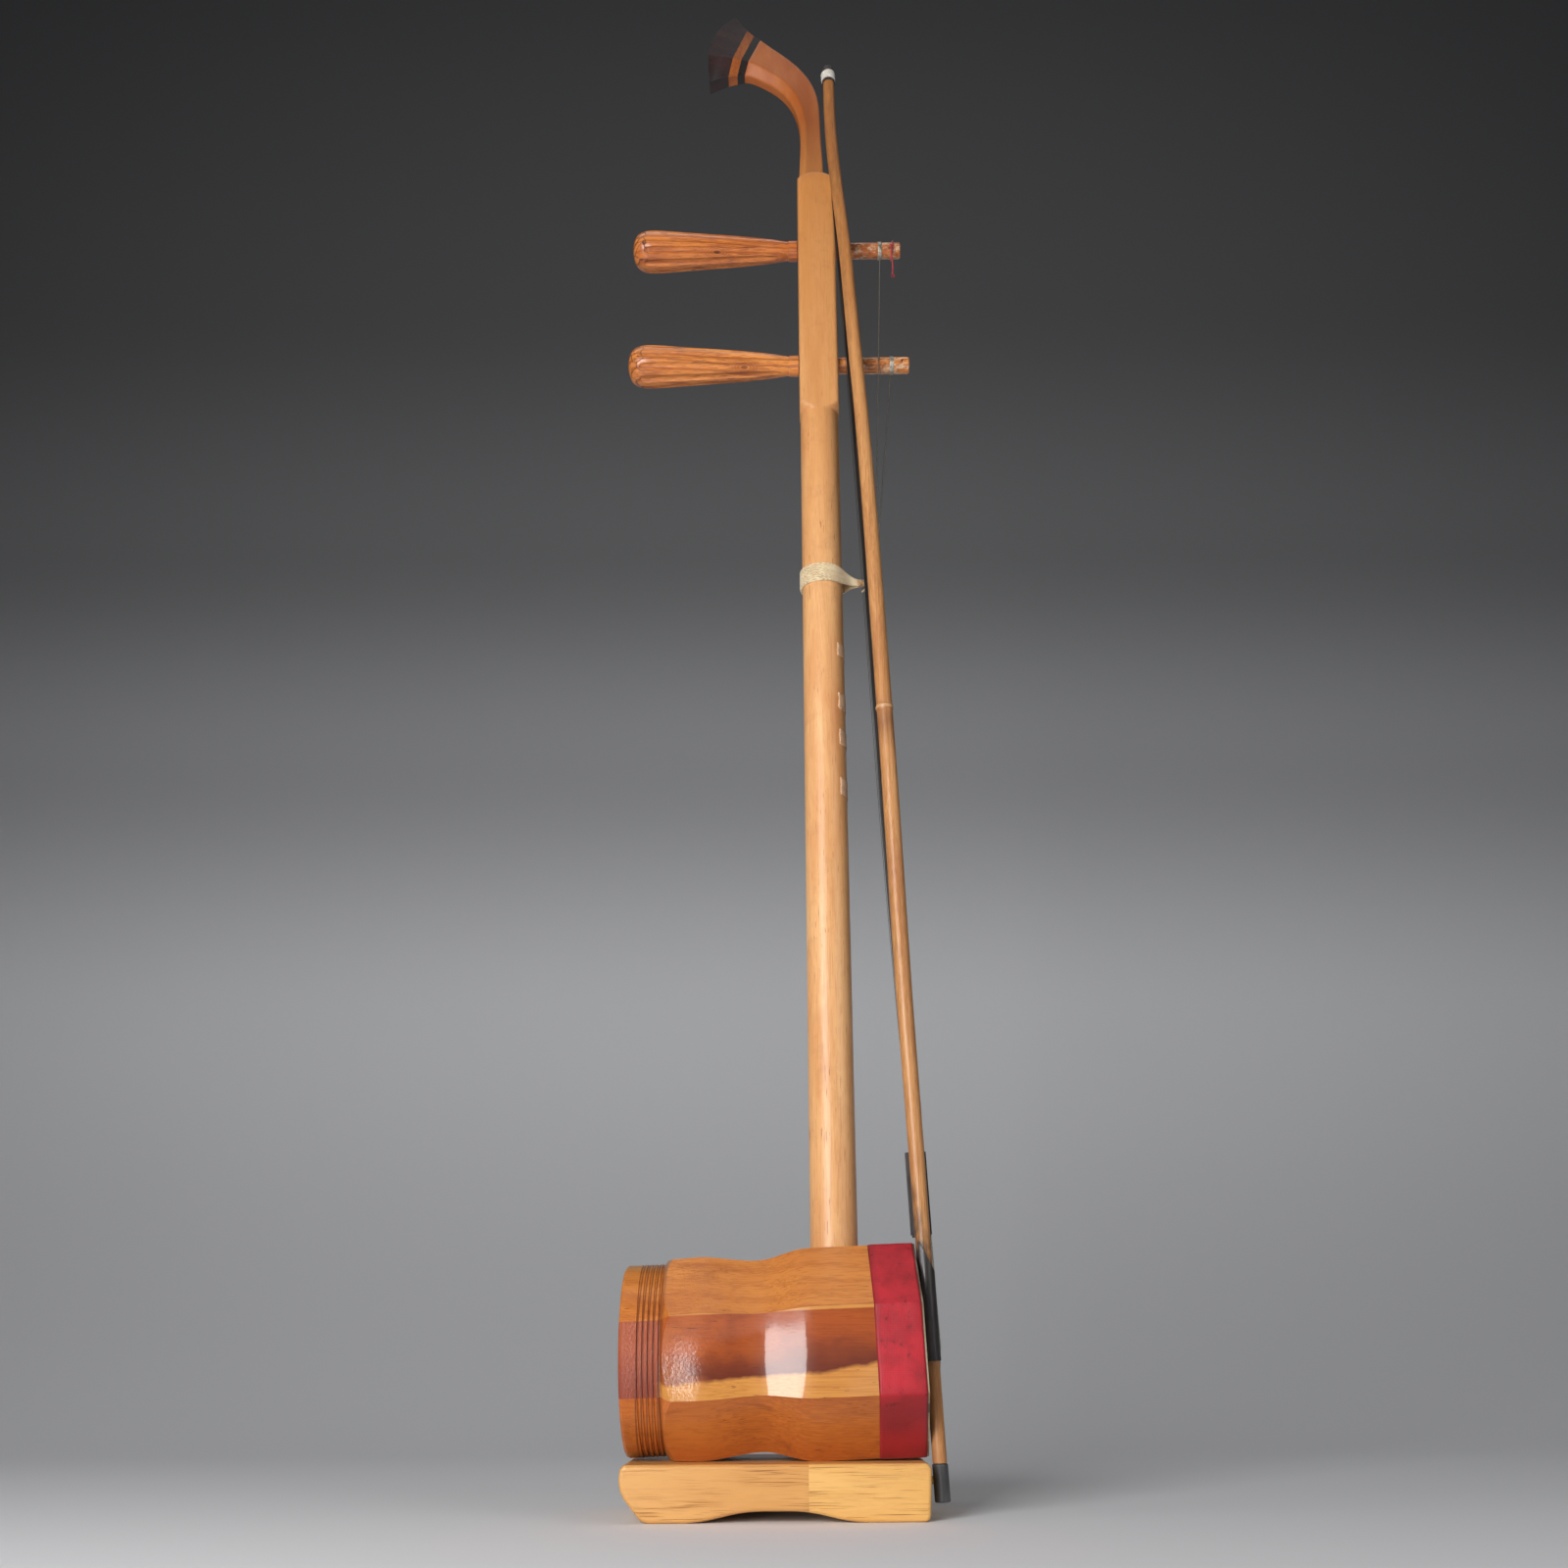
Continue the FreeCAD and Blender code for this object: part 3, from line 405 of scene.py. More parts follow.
def groove_shade_and_grime(shade, colour):
    """Painted shade in the turned grooves and on the shoulder, together with dark polish gathered there."""
    first = BOX_BACK + 0.0075
    pitch = 0.0021
    middle_groove = 2.0
    x = shade.x()
    phase = shade.math("DIVIDE", shade.minus(x, first), pitch)
    line = shade.remap(shade.apart(phase, shade.math("ROUND", phase)), 0.08, 0.22, 1.0, 0.0)
    inside = shade.math("LESS_THAN", shade.apart(phase, middle_groove), middle_groove + 0.5)
    mask = shade.times(line, inside)
    shoulder = shade.apart(x, first + 0.0093)
    mask = shade.math("MAXIMUM", shade.times(mask, 0.7),
                      shade.remap(shoulder, 0.0, 0.0012, 0.5, 0.0))
    # Painted shade: the grooves and the shoulder are darkened as if shade falls in them, along with dark
    # polish gathered there.
    return shade.mix(mask, colour, (0.10, 0.025, 0.012))


def stave_material(index, light, dark, deep, seed, figure):
    """Lacquered stave with a swirl of darker wood."""
    shade = Shade("stave_wood_%d" % index, 0.34, 0.0, 0.05, specular=0.25)
    front_gloss(shade, 0.45)
    colour, fibre = wood_colours(shade, "x", light, dark, deep, seed, figure)
    swirl = shade.noise(shade.mapped((22, 40, 60), (seed, 0, seed)), 1.0, 5.0, 0.6, 1.6)
    colour = shade.tint(colour, swirl, 0.56, 0.72, 0.55, deep)
    colour, _ = add_pores(shade, colour, "x", tuple(c * 0.5 for c in deep), seed, 160, 2200, 0.66)
    colour = groove_shade_and_grime(shade, colour)
    shade.colour(colour)
    shade.bump(fibre, 0.00003, 0.35)
    peel(shade)
    return shade.mat


def front_gloss(shade, weight):
    """Thick clear lacquer on the facets, worn off the turned rear end."""
    x = shade.x()
    shade.put(shade.shader.inputs["Coat Weight"],
              shade.remap(x, BOX_BACK + 0.0155, BOX_BACK + 0.0175, 0.12, weight))


def peel(shade):
    """Orange peel in the thick lacquer near the rear shoulder, faint elsewhere."""
    x = shade.x()
    near = shade.remap(x, BOX_BACK + 0.030, BOX_BACK + 0.043, 1.0, 0.06)
    grain = shade.noise(shade.mapped(), 950.0, 3.0, 0.6)
    shade.bump(shade.times(grain, near), 0.00020, 0.7)


def hand_carved(shade):
    """The facet is slightly domed and twisted, as a hand plane leaves it."""
    dome_amount = -170.0
    twist_amount = -128.0
    twist_end = -0.007
    twist_length = 0.018
    x = shade.x()
    height = stave_height(shade)
    square = shade.times(height, height)
    dome = shade.times(shade.times(x, square), dome_amount)
    reach = shade.remap(x, twist_end - twist_length, twist_end, twist_length, 0.0)
    twist = shade.times(shade.times(reach, reach), shade.times(height, twist_amount))
    shade.bump(shade.math("ADD", dome, twist), 1.0, 1.0)


def heart_stave_material():
    """The stave that faces the camera: dark heartwood over a pale sapwood edge."""
    shade = Shade("stave_wood_3", 0.34, 0.0, 0.05, specular=0.25)
    front_gloss(shade, 1.0)
    colour, fibre = wood_colours(shade, "x", (0.46, 0.110, 0.018), (0.35, 0.068, 0.014),
                                 (0.18, 0.034, 0.010), 8.0, 0.7)
    height = stave_height(shade)
    sway = shade.noise(shade.mapped((28, 40, 40)), 1.0, 4.0, 0.6)
    edge = shade.math("ADD", height, shade.times(shade.minus(sway, 0.5), 0.011))
    x = shade.x()
    rise = shade.remap(x, -0.030, 0.020, 0.0, 0.0035)
    level = shade.minus(edge, rise)
    streak = shade.ramp(shade.remap(level, -0.0085, 0.0045), [(0.0, 0.95), (0.40, 0.60), (0.85, 0.0)])
    patch = shade.noise(shade.mapped((38, 60, 60), (0.2, 0.0, 0.6)), 1.0, 3.0, 0.6)
    colour = shade.tint(colour, patch, 0.50, 0.66, 0.6, (0.20, 0.038, 0.014))
    colour = shade.mix(streak, colour, (0.12, 0.022, 0.012))
    ember = shade.noise(shade.mapped((30, 50, 50), (0.7, 0.1, 0.3)), 1.0, 2.0)
    colour = shade.tint(colour, ember, 0.50, 0.68, 0.55, (0.50, 0.15, 0.035))
    gold = shade.mix(shade.ramp(fibre, [(0.4, 0.0), (0.8, 1.0)]), (0.62, 0.27, 0.060), (0.46, 0.16, 0.035))
    sap = shade.remap(level, -0.0092, -0.0078, 1.0, 0.0)
    front_only = shade.remap(x, TURNED_END - 0.0015, TURNED_END, 0.0, 1.0)
    colour = shade.mix(shade.times(sap, front_only), colour, gold)
    turned = shade.remap(x, TURNED_END - 0.0010, TURNED_END + 0.0010, 0.7, 0.0)
    colour = shade.mix(turned, colour, (0.30, 0.055, 0.022))
    top = shade.remap(height, 0.0149, 0.0154, 0.0, 0.9)
    colour = shade.mix(top, colour, (0.62, 0.28, 0.07))
    colour, _ = add_pores(shade, colour, "x", (0.12, 0.03, 0.015), 8.0, 160, 2200, 0.67)
    colour = groove_shade_and_grime(shade, colour)
    shade.colour(colour)
    shade.bump(fibre, 0.00003, 0.3)
    hand_carved(shade)
    peel(shade)
    return shade.mat


def peg_material(name, seed, light, dark, knot_at):
    """Lacquered reddish hardwood: bold grain, a knot, cracks in the dome, worn shaft."""
    shade = Shade(name, 0.32, 0.55, 0.10, specular=0.3)
    colour, fibre = wood_colours(shade, "x", light, dark, (0.20, 0.048, 0.015), seed, 1.3)
    bold = shade.wave(shade.mapped(along("x", 1.0, 0.10), (seed, seed, 0)), 95.0, 7.0, "Z", 3.0, 1.0)
    colour = shade.tint(colour, bold, 0.70, 1.0, 0.6, (0.24, 0.055, 0.017))
    knot_shape = (0.75, 1, 1.6)
    length = shade.add("ShaderNodeVectorMath", operation="LENGTH")
    knot_offset = tuple(-place * scale for place, scale in zip(knot_at, knot_shape))
    shade.put(length.inputs[0], shade.mapped(knot_shape, knot_offset))
    reach = length.outputs["Value"]
    rings = shade.math("SINE", shade.times(reach, 5200.0))
    halo = shade.remap(reach, 0.0015, 0.0075, 0.75, 0.0)
    ringed = shade.times(halo, shade.remap(rings, -0.4, 1.0, 0.25, 1.0))
    colour = shade.mix(ringed, colour, (0.22, 0.050, 0.016))
    colour = shade.mix(shade.remap(reach, 0.0008, 0.0019, 0.92, 0.0), colour, (0.050, 0.014, 0.008))
    colour, pores = add_pores(shade, colour, "x", (0.14, 0.035, 0.015), seed, 120, 1700, 0.60)
    low = corners("upper_peg")[0]
    x = shade.x()
    dome = shade.remap(x, low.x + 0.007, low.x + 0.010, 1.0, 0.0)
    cracks = shade.voronoi(shade.mapped((110, 170, 170), (seed, 0.1, 0.2)), 1.0, "DISTANCE_TO_EDGE")
    crack = shade.times(dome, shade.ramp(cracks, [(0.010, 0.9), (0.035, 0.0)]))
    colour = shade.mix(crack, colour, (0.045, 0.012, 0.008))
    front = shade.remap(x, 0.012, 0.020, 0.0, 1.0)
    patina = shade.noise(shade.mapped((260, 420, 420), (seed, 0, 0)), 1.0, 5.0, 0.7)
    colour = shade.mix(shade.times(front, shade.ramp(patina, [(0.50, 0.0), (0.62, 0.8)])),
                       colour, (0.70, 0.48, 0.30))
    grime = shade.noise(shade.mapped((420, 420, 420), (0, seed, 0)), 1.0, 4.0)
    colour = shade.mix(shade.times(front, shade.ramp(grime, [(0.54, 0.0), (0.68, 0.7)])),
                       colour, (0.16, 0.045, 0.022))
    shade.colour(colour)
    shade.rough(shade.ramp(fibre, [(0.3, 0.24), (0.8, 0.42)]))
    shade.bump(fibre, 0.00010, 0.5)
    shade.bump(pores, -0.00018, 0.6)
    shade.bump(crack, -0.0003, 0.7)
    return shade.mat


def cane_material():
    """Bow stick: bamboo, fibres lengthwise, darker below its node, with painted shade on the left half of
    the stick below the sleeve.
    """
    shade = Shade("bow_cane", 0.38, 0.25, 0.18, specular=0.25)
    colour, fibre = wood_colours(shade, "z", (0.62, 0.31, 0.120), (0.48, 0.21, 0.068),
                                 (0.28, 0.10, 0.035), 4.0, 1.0)
    height = shade.z()
    colour = shade.mix(shade.remap(height, 0.45, 0.65, 0.0, 0.6), colour, (0.44, 0.150, 0.025))
    lines = shade.noise(shade.mapped((2600, 2600, 14)), 1.0, 3.0, 0.6)
    colour = shade.tint(colour, lines, 0.5, 0.72, 0.6, (0.26, 0.10, 0.04))
    blotch = shade.noise(shade.mapped((120, 120, 22)), 1.0, 5.0, 0.65)
    colour = shade.tint(colour, blotch, 0.5, 0.7, 0.5, (0.34, 0.12, 0.045))
    gap = shade.apart(height, CANE_NODE_Z - 0.0085)
    colour = shade.mix(shade.remap(gap, 0.0, 0.014, 0.55, 0.0), colour, (0.16, 0.055, 0.025))
    aside = shade.minus(shade.x(), shade.minus(BOW_FOOT_X, shade.times(height, BOW_SLOPE)))
    soot = shade.math("ADD", shade.remap(height, 0.098, 0.128, 1.0, 0.0),
                      shade.remap(aside, -0.0030, 0.0020, 0.25, -0.45))
    speck = shade.noise(shade.mapped((300, 300, 90)), 1.0, 5.0, 0.7)
    soot = shade.times(soot, shade.remap(speck, 0.35, 0.62, 0.2, 1.3), True)
    above = shade.remap(height, 0.050, 0.060, 0.0, 1.0)
    colour = shade.mix(shade.times(soot, above, True), colour, (0.040, 0.026, 0.020))
    # Painted shade: the left half of the stick below the sleeve is darker.
    shaded = shade.times(shade.remap(aside, -0.0012, 0.0004, 0.55, 0.0),
                         shade.remap(height, 0.050, 0.060, 1.0, 0.0))
    colour = shade.mix(shaded, colour, (0.30, 0.13, 0.05))
    ring = shade.apart(height, CANE_NODE_Z)
    colour = shade.mix(shade.remap(ring, 0.0004, 0.0010, 0.55, 0.0), colour, (0.66, 0.42, 0.22))
    shade.colour(colour)
    shade.bump(lines, 0.00008, 0.6)
    shade.bump(fibre, 0.00004, 0.4)
    return shade.mat


def dark_wood_material(name, light, dark):
    """Polished close-grained wood, worn lighter in patches."""
    shade = Shade(name, 0.32, 0.55, 0.12)
    colour, fibre = wood_colours(shade, "x", light, dark, tuple(c * 0.4 for c in dark), 6.0, 1.2)
    colour = wear(shade, colour, tuple(min(1, c * 3) for c in light), 5.0, 160.0, 0.25)
    shade.colour(colour)
    shade.rough(shade.ramp(fibre, [(0.3, 0.26), (0.8, 0.46)]))
    shade.bump(fibre, 0.00006, 0.5)
    return shade.mat


def head_band_material():
    """Red-brown band under the end cap, darker towards its top."""
    shade = Shade("head_band_wood", 0.34, 0.5, 0.12, specular=0.3)
    colour, fibre = wood_colours(shade, "z", (0.42, 0.125, 0.026), (0.26, 0.062, 0.015),
                                 (0.12, 0.030, 0.010), 9.0, 1.0)
    top = shade.z()
    colour = shade.mix(shade.remap(top, 0.770, 0.795, 0.0, 0.6), colour, (0.09, 0.026, 0.012))
    shade.colour(colour)
    shade.bump(fibre, 0.00005, 0.4)
    return shade.mat


# ---- Other materials ----------------------------------------------------------------

def snakeskin_material():
    """Python skin: rows of scales, dark patches on tan, thin where it turns the rim."""
    shade = Shade("snakeskin", 0.36, 0.35, 0.2)
    flat = shade.mapped((1, 150, 150), (0, 0, 0), (math.radians(45), 0, 0))
    warp = shade.noise(shade.mapped(), 30.0, 2.0)
    edge = shade.voronoi(flat, 1.0, "DISTANCE_TO_EDGE", 0.35)
    cell = shade.voronoi(flat, 1.0, "F1", 0.35, "Color")
    patch = shade.noise(shade.mapped((1, 42, 42)), 1.0, 2.0, 0.5, 0.8)
    tone = shade.math("ADD", patch, shade.times(shade.split(cell)[0], 0.10))
    colour = shade.ramp(tone, [(0.42, (0.62, 0.52, 0.34)), (0.52, (0.40, 0.28, 0.14)),
                               (0.60, (0.07, 0.045, 0.03)), (0.72, (0.16, 0.11, 0.06))])
    colour = shade.mix(shade.ramp(edge, [(0.02, 0.7), (0.10, 0.0)]), colour, (0.50, 0.42, 0.28))
    colour = shade.tint(colour, warp, 0.5, 0.8, 0.35, (0.30, 0.22, 0.12))
    rim = corners("skin_band")[1].x
    skirt = shade.remap(shade.x(), rim - 0.002, rim + 0.0004, 0.9, 0.0)
    colour = shade.mix(skirt, colour, (0.075, 0.040, 0.022))
    shade.colour(colour)
    shade.bump(shade.ramp(edge, [(0.0, 0.0), (0.16, 1.0)]), 0.00025, 0.8)
    return shade.mat


def cloth_material():
    """Crimson cloth glued round the rim, polished by hands and stained in spots; its lower facets are
    painted darker as painted shade.
    """
    shade = Shade("red_cloth", 0.52, 0.15, 0.35, specular=0.3, sheen=0.05)
    around = shade.noise(shade.mapped((90, 90, 90)), 1.0, 5.0, 0.65)
    colour = shade.mix(shade.ramp(around, [(0.40, 0.0), (0.70, 1.0)]), (0.52, 0.017, 0.030),
                       (0.30, 0.010, 0.016))
    spots = shade.noise(shade.mapped((170, 170, 170), (0.3, 0.1, 0.7)), 1.0, 4.0, 0.7)
    colour = shade.tint(colour, spots, 0.60, 0.70, 0.8, (0.10, 0.008, 0.010))
    stain = shade.noise(shade.mapped((35, 35, 60), (1.3, 0.4, 0.2)), 1.0, 3.0)
    colour = shade.tint(colour, stain, 0.52, 0.75, 0.5, (0.20, 0.010, 0.016))
    warp = shade.wave(shade.mapped(), 520.0, 0.6, "X")
    weft = shade.wave(shade.mapped(), 520.0, 0.6, "Z")
    weave = shade.math("MAXIMUM", warp, weft)
    colour = shade.mix(shade.ramp(weave, [(0.2, 0.35), (0.8, 0.0)]), colour, (0.18, 0.008, 0.012))
    low = corners("skin_band")[0]
    x = shade.x()
    edge = shade.remap(x, low.x + 0.0035, low.x + 0.0005, 0.0, 0.55)
    colour = shade.mix(edge, colour, (0.12, 0.008, 0.010))
    height = stave_height(shade)
    # Painted shade: the band is darker on its lower facets, as if lit from above.
    below = shade.remap(height, -0.012, -0.022, 0.0, 0.62)
    colour = shade.mix(below, colour, (0.17, 0.009, 0.014))
    glow = shade.voronoi(shade.mapped((60, 60, 110)), 1.0, "SMOOTH_F1")
    vein = shade.times(below, shade.ramp(glow, [(0.30, 0.0), (0.62, 0.8)]))
    colour = shade.mix(vein, colour, (0.46, 0.018, 0.022))
    shade.colour(colour)
    shade.bump(weave, 0.00006, 0.5)
    return shade.mat


def thread_material(name, light, dark):
    """Twisted thread: fine slanting ply lines with fuzz and handling stains."""
    shade = Shade(name, 0.8, sheen=0.3)
    slanted = shade.mapped(turn=(0.5, 0.6, 0.4))
    ply = shade.wave(slanted, 2500.0 / 6.0, 2.0, "DIAGONAL")
    tone = shade.noise(shade.mapped(), 240.0, 5.0, 0.7)
    colour = shade.tint(light, tone, 0.35, 0.75, 1.0, dark)
    deep = tuple(c * 0.45 for c in dark)
    shade.colour(shade.mix(shade.ramp(ply, [(0.1, 0.55), (0.5, 0.0)]), colour, deep))
    shade.bump(ply, 0.00008, 0.7)
    return shade.mat


def metal_material(name, colour, roughness, wound=0.0):
    """Tarnished metal; wound is the number of string windings, as a texture scale."""
    shade = Shade(name, roughness, metallic=1.0)
    stain = shade.noise(shade.mapped(), 420.0, 4.0, 0.7)
    tinted = shade.mix(shade.ramp(stain, [(0.45, 0.0), (0.75, 0.7)]), colour,
                       tuple(c * 0.45 for c in colour))
    shade.colour(tinted)
    shade.rough(shade.ramp(stain, [(0.3, roughness * 0.8), (0.8, min(1, roughness * 1.6))]))
    if wound:
        shade.bump(shade.wave(shade.mapped(), wound, 0.0, "Z"), 0.00005, 0.8)
    else:
        shade.bump(stain, 0.00003, 0.4)
    return shade.mat


def horn_material(name, colour, roughness=0.35):
    """Black horn with pale streaks and fine scratches."""
    shade = Shade(name, roughness, 0.3, 0.2)
    streak = shade.noise(shade.mapped((240, 240, 50)), 1.0, 5.0, 0.6)
    light = tuple(min(1.0, c * 2.6 + 0.015) for c in colour)
    shade.colour(shade.tint(colour, streak, 0.48, 0.78, 1.0, light))
    scratch = shade.noise(shade.mapped((2600, 2600, 120)), 1.0, 2.0)
    shade.rough(shade.ramp(scratch, [(0.35, roughness * 0.8), (0.75, min(1, roughness * 1.7))]))
    shade.bump(scratch, 0.00004, 0.4)
    return shade.mat


def hair_material():
    """Black horsehair, some hairs browner."""
    shade = Shade("horsehair", 0.35, specular=0.6)
    tone = shade.noise(shade.mapped((900, 900, 12)), 1.0, 3.0)
    shade.colour(shade.mix(shade.ramp(tone, [(0.4, 0.0), (0.75, 1.0)]), (0.012, 0.010, 0.009),
                           (0.055, 0.042, 0.034)))
    shade.bump(tone, 0.00002, 0.3)
    return shade.mat


def mark_material():
    """Yellowed fibrous tape."""
    shade = Shade("mark_tape", 0.55, 0.1, 0.4)
    tone = shade.noise(shade.mapped(), 300.0, 6.0, 0.7)
    colour = shade.mix(shade.ramp(tone, [(0.35, 0.0), (0.7, 1.0)]), (0.80, 0.50, 0.30),
                       (0.52, 0.30, 0.17))
    fibres = shade.noise(shade.mapped((2200, 2200, 300)), 1.0, 3.0)
    shade.colour(shade.tint(colour, fibres, 0.55, 0.8, 0.5, (0.68, 0.56, 0.42)))
    shade.bump(tone, 0.0001, 0.6)
    return shade.mat


# ---- Geometry helpers ---------------------------------------------------------------

def corners(node):
    """Lowest and highest corner of a node's box."""
    return tuple(Vector(corner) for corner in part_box(node))


def smooth_faces(mesh):
    for face in mesh.polygons:
        face.use_smooth = True


def grid_faces(lines, rows, closed):
    """Faces between neighbouring lines of rows + 1 points; closed joins last to first."""
    faces = []
    for i in range(lines if closed else lines - 1):
        j = (i + 1) % lines
        for row in range(rows):
            a = i * (rows + 1) + row
            b = j * (rows + 1) + row
            faces.append((a, b, b + 1, a + 1))
    return faces


def thicken(piece, thickness, offset):
    """Give a sheet its thickness: inwards at -1, outwards at 1."""
    solid = piece.modifiers.new("thickness", "SOLIDIFY")
    solid.thickness = thickness
    solid.offset = offset


def section_at(node, z):
    """Middle and half-size in X and Y of a node's outline at one height."""
    mesh = nodes[node].data
    points = []
    for edge in mesh.edges:
        a, b = (mesh.vertices[i].co for i in edge.vertices)
        if (a.z - z) * (b.z - z) <= 0 and abs(a.z - b.z) > 1e-9:
            points.append(a.lerp(b, (z - a.z) / (b.z - a.z)))
    xs = [p.x for p in points]
    ys = [p.y for p in points]
    middle = Vector(((min(xs) + max(xs)) / 2, (min(ys) + max(ys)) / 2, z))
    return middle, (max(xs) - min(xs)) / 2, (max(ys) - min(ys)) / 2


def thread_curve(name, routes, radius, mat, sides):
    """Round threads as one curve, each along its own list of points."""
    curve = bpy.data.curves.new(name, "CURVE")
    curve.dimensions = "3D"
    curve.bevel_depth = radius
    curve.bevel_resolution = sides
    curve.use_fill_caps = True
    curve.resolution_u = 3
    for route in routes:
        spline = curve.splines.new("NURBS")
        spline.points.add(len(route) - 1)
        for point, place in zip(spline.points, route):
            point.co = (*place, 1)
        spline.order_u = 3
        spline.use_endpoint_u = True
        spline.use_smooth = True
    curve.materials.append(mat)
    return add_object(name, curve)


def strand(name, routes, radius, mat, body, sides=2):
    """One piece made of round threads, riding on a body."""
    piece = thread_curve(name, routes, radius, mat, sides)
    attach(piece, body)
    return piece


def around(axis, angle):
    """Unit vector square to an axis, at an angle about it."""
    side = axis.orthogonal().normalized()
    other = axis.cross(side)
    return side * math.cos(angle) + other * math.sin(angle)


def helix(centre, axis, radius, turns, length, start=0.0, steps=14):
    """Points of a helix about an axis, half its length on each side of the centre."""
    axis = Vector(axis).normalized()
    count = int(turns * steps)
    points = []
    for i in range(count + 1):
        offset = around(axis, start + 2 * math.pi * i / steps)
        points.append(centre + axis * (length * (i / count - 0.5)) + offset * radius)
    return points


def mesh_piece(name, mesh, mat, body):
    """One smooth-shaded mesh piece, riding on a body."""
    smooth_faces(mesh)
    mesh.materials.append(mat)
    piece = add_object(name, mesh)
    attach(piece, body)
    return piece


# ---- Pieces -------------------------------------------------------------------------

def make_band(mat):
    """Cloth band: one strip round the octagon, slightly slack, with rolled edges."""
    low, high = corners("skin_band")
    centre = (low + high) * 0.5
    depth = (high.y - low.y) / 2
    width = (high.x - low.x) - 2 * depth * math.tan(BOX_TILT)
    corner = 0.0022
    apothem = depth - 0.0001
    half_side = (apothem - corner) * math.tan(math.pi / 8)
    outline = []
    for side in range(8):
        facing = math.pi / 4 * side
        normal = Vector((0, math.cos(facing), math.sin(facing)))
        tangent = Vector((0, -math.sin(facing), math.cos(facing)))
        for step in range(13):
            share = step / 12 * 2 - 1
            outline.append((normal * apothem + tangent * half_side * share, normal))
        pivot = normal * (apothem - corner) + tangent * half_side
        for step in range(1, 4):
            angle = facing + math.pi / 4 * step / 4
            out = Vector((0, math.cos(angle), math.sin(angle)))
            outline.append((pivot + out * corner, out))
    lean = Matrix.Rotation(-BOX_TILT, 3, "Y")
    rows = 18
    vertices = []
    for point, normal in outline:
        for row in range(rows + 1):
            share = row / rows
            x = (share - 0.5) * width
            ripple = noise.noise(Vector((x * 240, point.y * 150, point.z * 150))) * 0.00012
            roll = 0.00022 * (math.exp(-share * 22) + math.exp(-(1 - share) * 22))
            place = point + normal * (ripple - roll) + Vector((x, 0, 0))
            place.x += noise.noise(point * 60 + Vector((5, share, 0))) * 0.0002
            vertices.append(centre + lean @ place)
    mesh = bpy.data.meshes.new("cloth_band")
    mesh.from_pydata(vertices, [], grid_faces(len(outline), rows, True))
    piece = mesh_piece("cloth_band", mesh, mat, "erhu")
    thicken(piece, 0.00045, -1)
    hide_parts("skin_band")


def make_tie(cream, tan):
    """Threads wound round the neck, gathered forward, bound and knotted."""
    rng = random.Random(11)
    low, high = corners("tie_loop")
    binding_low, binding_high = corners("tie_binding")
    middle = (binding_low + binding_high) * 0.5
    end = Vector((high.x, 0, middle.z))
    thread = THREAD_RADIUS
    routes = []
    count = 13
    for layer in range(2):
        for i in range(count):
            share = (i + 0.5 * layer) / (count - 0.5)
            z = low.z + thread + share * (high.z - low.z - 2 * thread)
            radius = NECK_RADIUS + thread * (1.1 + 1.2 * layer)
            z_end = end.z + (share - 0.5) * 0.0028
            route = [Vector((end.x + 0.0010, 0.0004, z_end))]
            route.append(Vector((end.x - 0.0025, 0.0010, z_end + (z - z_end) * 0.12)))
            wobble = rng.uniform(-0.00025, 0.00025)
            for step in range(17):
                angle = math.radians(34 + (360 - 68) * step / 16)
                ease = min(1.0, min(step, 16 - step) / 2.5)
                height = z + wobble * math.sin(angle * 2 + i) + (z_end - z) * 0.25 * (1 - ease)
                bulge = radius + 0.0004 * (1 - ease)
                route.append(Vector((bulge * math.cos(angle), bulge * math.sin(angle), height)))
            route.append(Vector((end.x - 0.0025, -0.0010, z_end + (z - z_end) * 0.12)))
            route.append(Vector((end.x + 0.0010, -0.0004, z_end)))
            routes.append(route)
    loop = strand("tie_threads", routes, thread, cream, "erhu")
    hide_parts("tie_loop")
    turns = helix(middle, (1, 0, 0), 0.00165, 6, binding_high.x - binding_low.x, steps=12)
    binding = strand("tie_wrap", [turns], 0.00036, tan, "erhu")
    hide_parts("tie_binding")
    make_tie_knot(cream, binding_high.x, end.z)


def make_tie_knot(cream, start_x, z):
    """Braided end, a ring round the strings and a short loose tail."""
    ring_x = corners("tie_knot")[1].x - 0.0035
    plies = []
    for ply in range(3):
        route = []
        for step in range(19):
            share = step / 18
            angle = 2 * math.pi * (share * 2.2 + ply / 3)
            x = start_x - 0.0022 + (ring_x - 0.0024 - start_x + 0.0022) * share
            swell = 0.00075 + 0.0004 * math.sin(math.pi * share)
            route.append(Vector((x, swell * math.cos(angle), z + swell * math.sin(angle))))
        plies.append(route)
    for turn in range(2):
        route = []
        for step in range(17):
            angle = 2 * math.pi * step / 16
            route.append(Vector((ring_x + 0.0027 * math.cos(angle), 0.0027 * math.sin(angle),
                                 z + (turn - 0.5) * 0.0007)))
        plies.append(route)
    tail_start = Vector((ring_x - 0.0028, -0.0012, z - 0.0006))
    for side in (-1, 1):
        route = []
        for step in range(13):
            share = step / 12
            angle = 5 * math.pi * share + (0 if side > 0 else math.pi)
            drop = Vector((0.0004 - 0.0042 * share, -0.0008 * share, -0.0052 * share))
            twist = Vector((math.cos(angle), math.sin(angle), 0)) * 0.00034
            route.append(tail_start + drop + twist)
        plies.append(route)
    knot = strand("tie_braid", plies, THREAD_RADIUS, cream, "erhu")
    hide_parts("tie_knot")


def make_windings(metal):
    """Real turns of string on each peg."""
    for side in ("upper", "lower"):
        low, high = corners(side + "_winding")
        middle = (low + high) * 0.5
        radius = (high.z - low.z) / 2 - 0.00025
        turns = helix(middle, (1, 0, 0), radius, 4.5, high.x - low.x - 0.0005, 1.2, 18)
        wire = strand(side + "_wire", [turns], 0.00023, metal, side + "_peg_body")
        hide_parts(side + "_winding")


